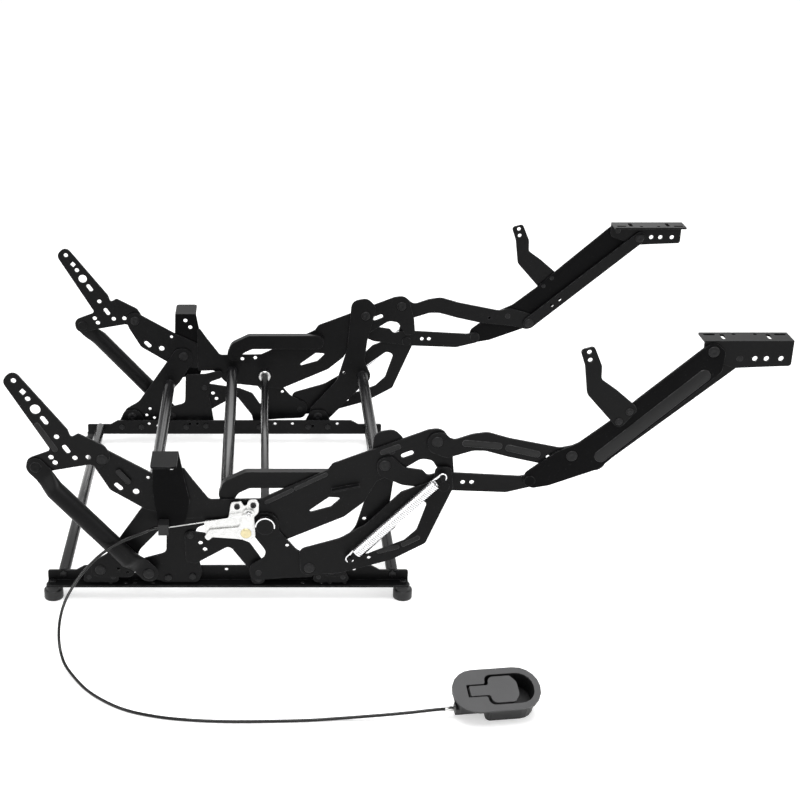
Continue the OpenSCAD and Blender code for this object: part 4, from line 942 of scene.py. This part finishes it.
class RECLINER_OT_tubes(bpy.types.Operator):
    """Fit the cross tubes with weld beads, the base tubes, the drive shaft and its collars"""

    bl_idname = "recliner.tubes"
    bl_label = "Tubes and shaft"

    def execute(self, context):
        for node in ("rear_lift_tube", "front_lift_tube", "seat_cross_tube"):
            self.welded_tube(node)
        for node in ("rear_base_tube", "front_base_tube", "drive_shaft"):
            self.bar(node)
        self.collars()
        for label, side in SIDES.items():
            self.strut(label, side)
        return {"FINISHED"}

    def place(self, node):
        """Radius, half length and middle of a packed tube."""
        low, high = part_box(node)
        return (high.x - low.x) / 2, (high.y - low.y) / 2, (low + high) / 2

    def welded_tube(self, node):
        radius, reach, middle = self.place(node)
        weld = sizes().weld
        wall = 0.0015
        end = [(radius - wall, 0), (radius + 0.4 * weld, 0), (radius + 0.45 * weld, 0.35 * weld),
               (radius + 0.25 * weld, 0.8 * weld), (radius, 1.2 * weld)]
        profile = [(r, -reach + z) for r, z in end] + [(r, reach - z) for r, z in reversed(end)]
        bm = bmesh.new()
        turn(bm, profile, outward(middle, 0, 1), closed=True)
        add_piece(node + "_welded", bm, BODY_OF[node], "tube_coat", [node], sharp=50.0)

    def bar(self, node):
        radius, reach, middle = self.place(node)
        bm = bmesh.new()
        turn(bm, sleeve(0, radius, 2 * reach, chamfer=0.0008), outward(middle, -reach, 1))
        add_piece(node + "_bar", bm, BODY_OF[node], "tube_coat", [node], sharp=50.0)

    def collars(self):
        """Zinc collars with a set screw each."""
        width, radius, bore = 0.010, 0.010, 0.0061
        off_plate, sunk = 0.0003, 0.0006
        screw = metres([(0, 0.5), (1.2, 0.5), (1.2, 1.2), (2, 1.2), (2.4, 0.8), (2.4, -1), (0, -1)])
        bm = bmesh.new()
        for side in SIDES.values():
            seat = outward(PIVOT["crank_turn"], inner_y(2) - width - off_plate, side)
            turn(bm, sleeve(bore, radius, width, chamfer=0.0008), seat, closed=True)
            around = seat @ shift(0, 0, width / 2) @ Matrix.Rotation(radians(60), 4, "Z")
            turn(bm, screw, around @ shift(radius - sunk, 0, 0) @ Matrix.Rotation(pi / 2, 4, "Y"))
        add_piece("shaft_collars_turned", bm, "crank", "zinc_plate", ["shaft_collars"])

    def strut(self, label, side):
        """A round tube whose ends are pressed flat round the pivots."""
        node = label + "_back_strut"
        run = PIVOT["strut_turn"] - STRUT_TOP
        inner = inner_y(4)
        # Distance from the pivot, half width and half depth, in millimetres
        thin = sizes().plate / 2 / MM
        top = metres([(-12.9, 1.7, thin), (-11.9, 5.4, thin), (-9.4, 9.0, thin), (-5.0, 12.0, thin),
                      (0.0, 13.0, thin), (14.0, 13.0, thin), (22.0, 13.0, 4.2), (30.0, 13.0, 9.0),
                      (38.0, 13.0, 13.0)])
        foot = [(run.length - along, *half) for along, *half in reversed(top)]
        bm = bmesh.new()
        rings = []
        for along, half_width, half_depth in top + foot:
            made = bmesh.ops.create_circle(bm, cap_ends=False, segments=28, radius=1.0)["verts"]
            bmesh.ops.scale(bm, vec=(half_width, half_depth, 1.0), verts=made)
            bmesh.ops.translate(bm, vec=(0, half_depth, along), verts=made)
            rings.append(made)
        skin(bm, rings)
        way = run.normalized()
        lie = Matrix(((way.z, 0, way.x, STRUT_TOP.x), (0, side, 0, side * inner),
                      (-way.x, 0, way.z, STRUT_TOP.z), (0, 0, 0, 1)))
        bmesh.ops.transform(bm, matrix=lie, verts=bm.verts)
        turn(bm, [(0, 0)] + dome(sizes().head_radius), outward(STRUT_TOP, outer_y(4), side))
        bmesh.ops.recalc_face_normals(bm, faces=bm.faces)
        add_piece(node + "_tube", bm, "strut", "powder_coat", [node], sharp=50.0)


class RECLINER_OT_bolts(bpy.types.Operator):
    """Fit the hexagon bolts of the base"""

    bl_idname = "recliner.bolts"
    bl_label = "Base bolts"

    def execute(self, context):
        bracket = [Vector((PIVOT[name].x + end * BOLT_SPREAD, 0, BOLT_ROW))
                   for name in ("recline", "front_lift_turn") for end in ENDS]
        stay = Vector((CRANK_TAIL.x, 0, BOLT_ROW))
        # How far the shanks reach into a base tube and into a foot
        in_tube, in_foot = 0.014, 0.012
        bm = bmesh.new()
        for side in SIDES.values():
            for point in bracket:
                self.stand_off(bm, point, side, inner_y(0), False)
            for point in STRUT_BOLTS:
                self.stand_off(bm, point, side, inner_y(0), True)
            self.stand_off(bm, stay, side, inner_y(1), True)
            for end in ENDS:
                tube = Vector((end * TUBE_REACH, 0, TUBE_HEIGHT))
                add_hexagon(bm, outward(tube, WEB_OUTER + CLEAR, side))
                self.shank(bm, outward(tube, WEB_INNER - in_tube + CLEAR, side), sizes().plate + in_tube)
                foot = shift(end * FOOT_REACH, side * FOOT_BOLT, FLANGE_TOP)
                add_hexagon(bm, foot)
                self.shank(bm, foot @ shift(0, 0, -in_foot), in_foot)
        add_piece("base_bolts_hexagon", bm, "base", "blackened_steel", ["base_bolts"])
        return {"FINISHED"}

    def shank(self, bm, matrix, length):
        radius, tip = sizes().small_shank, 0.0005
        turn(bm, [(0, 0), (radius - tip, 0), (radius, tip), (radius, length), (0, length)], matrix)

    def stand_off(self, bm, point, side, plate_y, outer_head):
        """A bolt from inside the rail's web through a distance collar to a plate."""
        inner = outward(point, WEB_INNER - CLEAR, side)
        add_hexagon(bm, inner @ Matrix.Rotation(pi, 4, "X"))
        self.shank(bm, inner, plate_y + sizes().plate - WEB_INNER + CLEAR)
        length = plate_y - WEB_OUTER - 2 * CLEAR
        collar = sleeve(sizes().small_shank, sizes().small_head, length, chamfer=0.0004)
        turn(bm, collar, outward(point, WEB_OUTER + CLEAR, side), closed=True)
        if outer_head:
            add_hexagon(bm, outward(point, plate_y + sizes().plate, side))


class RECLINER_OT_feet(bpy.types.Operator):
    """Fit the moulded feet"""

    bl_idname = "recliner.feet"
    bl_label = "Feet"

    def execute(self, context):
        pad = metres([(0, 0), (11.8, 0), (13, 0.6), (13.5, 1.8), (13.5, 12.2), (13.1, 13.8), (12.2, 14.5),
                      (0, 14.5)])
        neck = metres([(0, 14), (9.5, 14), (9.5, 22.5), (9, 23.5), (3.2, 23.5), (3.2, 14.6), (0, 14.6)])
        bm = bmesh.new()
        for side in SIDES.values():
            for end in ENDS:
                turn(bm, pad, shift(end * FOOT_REACH, side * FOOT_SIDE, 0))
                turn(bm, neck, shift(end * FOOT_REACH, side * FOOT_BOLT, 0))
        add_piece("feet_moulded", bm, "base", "black_plastic", ["feet"])
        return {"FINISHED"}


class RECLINER_OT_latch(bpy.types.Operator):
    """Fit the latch's screws and pivot, the end loop of the wire and the snap rings of the crank hubs"""

    bl_idname = "recliner.latch"
    bl_label = "Latch fittings"

    def execute(self, context):
        side = SIDES["right"]
        body, slot = BODY_OF["latch_screws"], SLOT_OF["latch_screws"]
        bore, radius = sizes().small_shank, sizes().small_head
        low = outer_y(2) + CLEAR
        length = inner_y(4) - CLEAR - low
        tube = [(bore, 0), (radius, 0), (radius, length), (bore, length)]
        bm = bmesh.new()
        for point in LATCH_SCREWS:
            self.socket_screw(bm, point, side)
            turn(bm, tube, outward(point, low, side), closed=True)
        add_piece("latch_screws_turned", bm, body, slot, ["latch_screws"], finish="blackened_steel")
        bm = bmesh.new()
        add_pin(bm, LATCH_PIVOT, side, 4, 5, False, True)
        add_piece("latch_pivot_rivet", bm, body, slot, finish="yellow_zinc")
        bm = bmesh.new()
        self.wire_loop(bm, side)
        add_piece("wire_loop", bm, BODY_OF["latch_pawl"], "spring_steel", sharp=80.0)
        bm = bmesh.new()
        for way in SIDES.values():
            self.snap_ring(bm, way)
        add_piece("snap_rings", bm, "crank", "spring_steel", sharp=40.0)
        return {"FINISHED"}

    def socket_screw(self, bm, point, side):
        """A screw through the stack with a hollow head outside and a round head inside."""
        head, shank = 0.004, sizes().small_shank
        start = inner_y(2) - CLEAR
        end = outer_y(4) + CLEAR - start
        shape = [(1.0, 0.0), (1.0, 0.8), (0.92, 1.0), (0.48, 1.0), (0.48, 0.25), (0.0, 0.25)]
        outer = [(head * r, end + sizes().head_height * h) for r, h in shape]
        turn(bm, downward(pin_end(True, head, shank)) + [(shank, end)] + outer, outward(point, start, side))

    def wire_loop(self, bm, side):
        """The inner wire's end, bent to a closed loop round the pawl's pin."""
        radius, wire = release().wire_loop, release().inner_wire
        off_pawl = 0.0035
        section = [(radius + wire * cos(pi * k / 4), wire * sin(pi * k / 4)) for k in range(8)]
        turn(bm, section, outward(WIRE_PIN, outer_y(5) + off_pawl, side), closed=True)

    def snap_ring(self, bm, side):
        """A flat open ring that grips the upper half of a hub."""
        known = set(bm.verts)
        along_hub, start, sweep = 0.0074, radians(-10), radians(190)
        section = metres([(12.1, 0), (13.6, 0), (13.8, 0.3), (13.8, 0.9), (13.6, 1.2), (12.1, 1.2)])
        verts, edges = outline(bm, section, closed=True)
        faces = bmesh.ops.contextual_create(bm, geom=edges)["faces"]
        bmesh.ops.spin(bm, geom=faces + edges + verts, cent=(0, 0, 0), axis=(0, 0, 1), angle=-side * sweep,
                       steps=30, use_merge=False)
        hub = outward(PIVOT["crank_turn"], outer_y(3) + along_hub, side)
        settle(bm, known, hub @ local_turn(start, side))


class RECLINER_OT_handle(bpy.types.Operator):
    """Turn the ferrule of the cable and the pin of the handle's lever"""

    bl_idname = "recliner.handle"
    bl_label = "Handle fittings"

    def execute(self, context):
        node = "handle_fittings"
        handle = handle_matrix()
        ferrule = metres([(1.2, 0), (2.4, 0), (3, 0.6), (3, 8.4), (2.6, 9), (2.6, 11.9), (1.2, 11.9)])
        radius, length = 0.0016, 0.0298
        bm = bmesh.new()
        along = handle @ Matrix.Translation(HANDLE_PORT) @ Matrix.Rotation(pi / 2, 4, "Y")
        turn(bm, ferrule, along, closed=True)
        across = handle @ Matrix.Translation(LEVER_PIN) @ Matrix.Rotation(pi / 2, 4, "X")
        turn(bm, sleeve(0, radius, length, chamfer=0.0004), across @ shift(0, 0, -length / 2))
        add_piece(node + "_turned", bm, BODY_OF[node], SLOT_OF[node], [node])
        return {"FINISHED"}


class RECLINER_PT_panel(bpy.types.Panel):
    """Lists the steps that dress the mechanism"""

    bl_idname = "RECLINER_PT_panel"
    bl_label = "Recliner"
    bl_space_type = "VIEW_3D"
    bl_region_type = "UI"
    bl_category = "Recliner"

    def draw(self, context):
        for step in STEPS:
            self.layout.operator(step.bl_idname)
        for group in SETTINGS:
            holder = getattr(context.scene, group)
            box = self.layout.box()
            for name in holder.bl_rna.properties.keys():
                if name not in ("rna_type", "name"):
                    box.prop(holder, name)


STEPS = (RECLINER_OT_stage, RECLINER_OT_cable, RECLINER_OT_springs, RECLINER_OT_pins, RECLINER_OT_tubes,
         RECLINER_OT_bolts, RECLINER_OT_feet, RECLINER_OT_latch, RECLINER_OT_handle, RECLINER_OT_ribs,
         RECLINER_OT_plates)
CLASSES = (*SETTINGS.values(), *STEPS, RECLINER_PT_panel)


def register():
    for item in CLASSES:
        bpy.utils.register_class(item)
    for name, group in SETTINGS.items():
        setattr(bpy.types.Scene, name, PointerProperty(type=group))


def unregister():
    for name in SETTINGS:
        delattr(bpy.types.Scene, name)
    for item in reversed(CLASSES):
        bpy.utils.unregister_class(item)


def main():
    register()
    make_finishes()
    for step in STEPS:
        group, name = step.bl_idname.split(".")
        getattr(getattr(bpy.ops, group), name)()


if __name__ == "__main__":
    main()
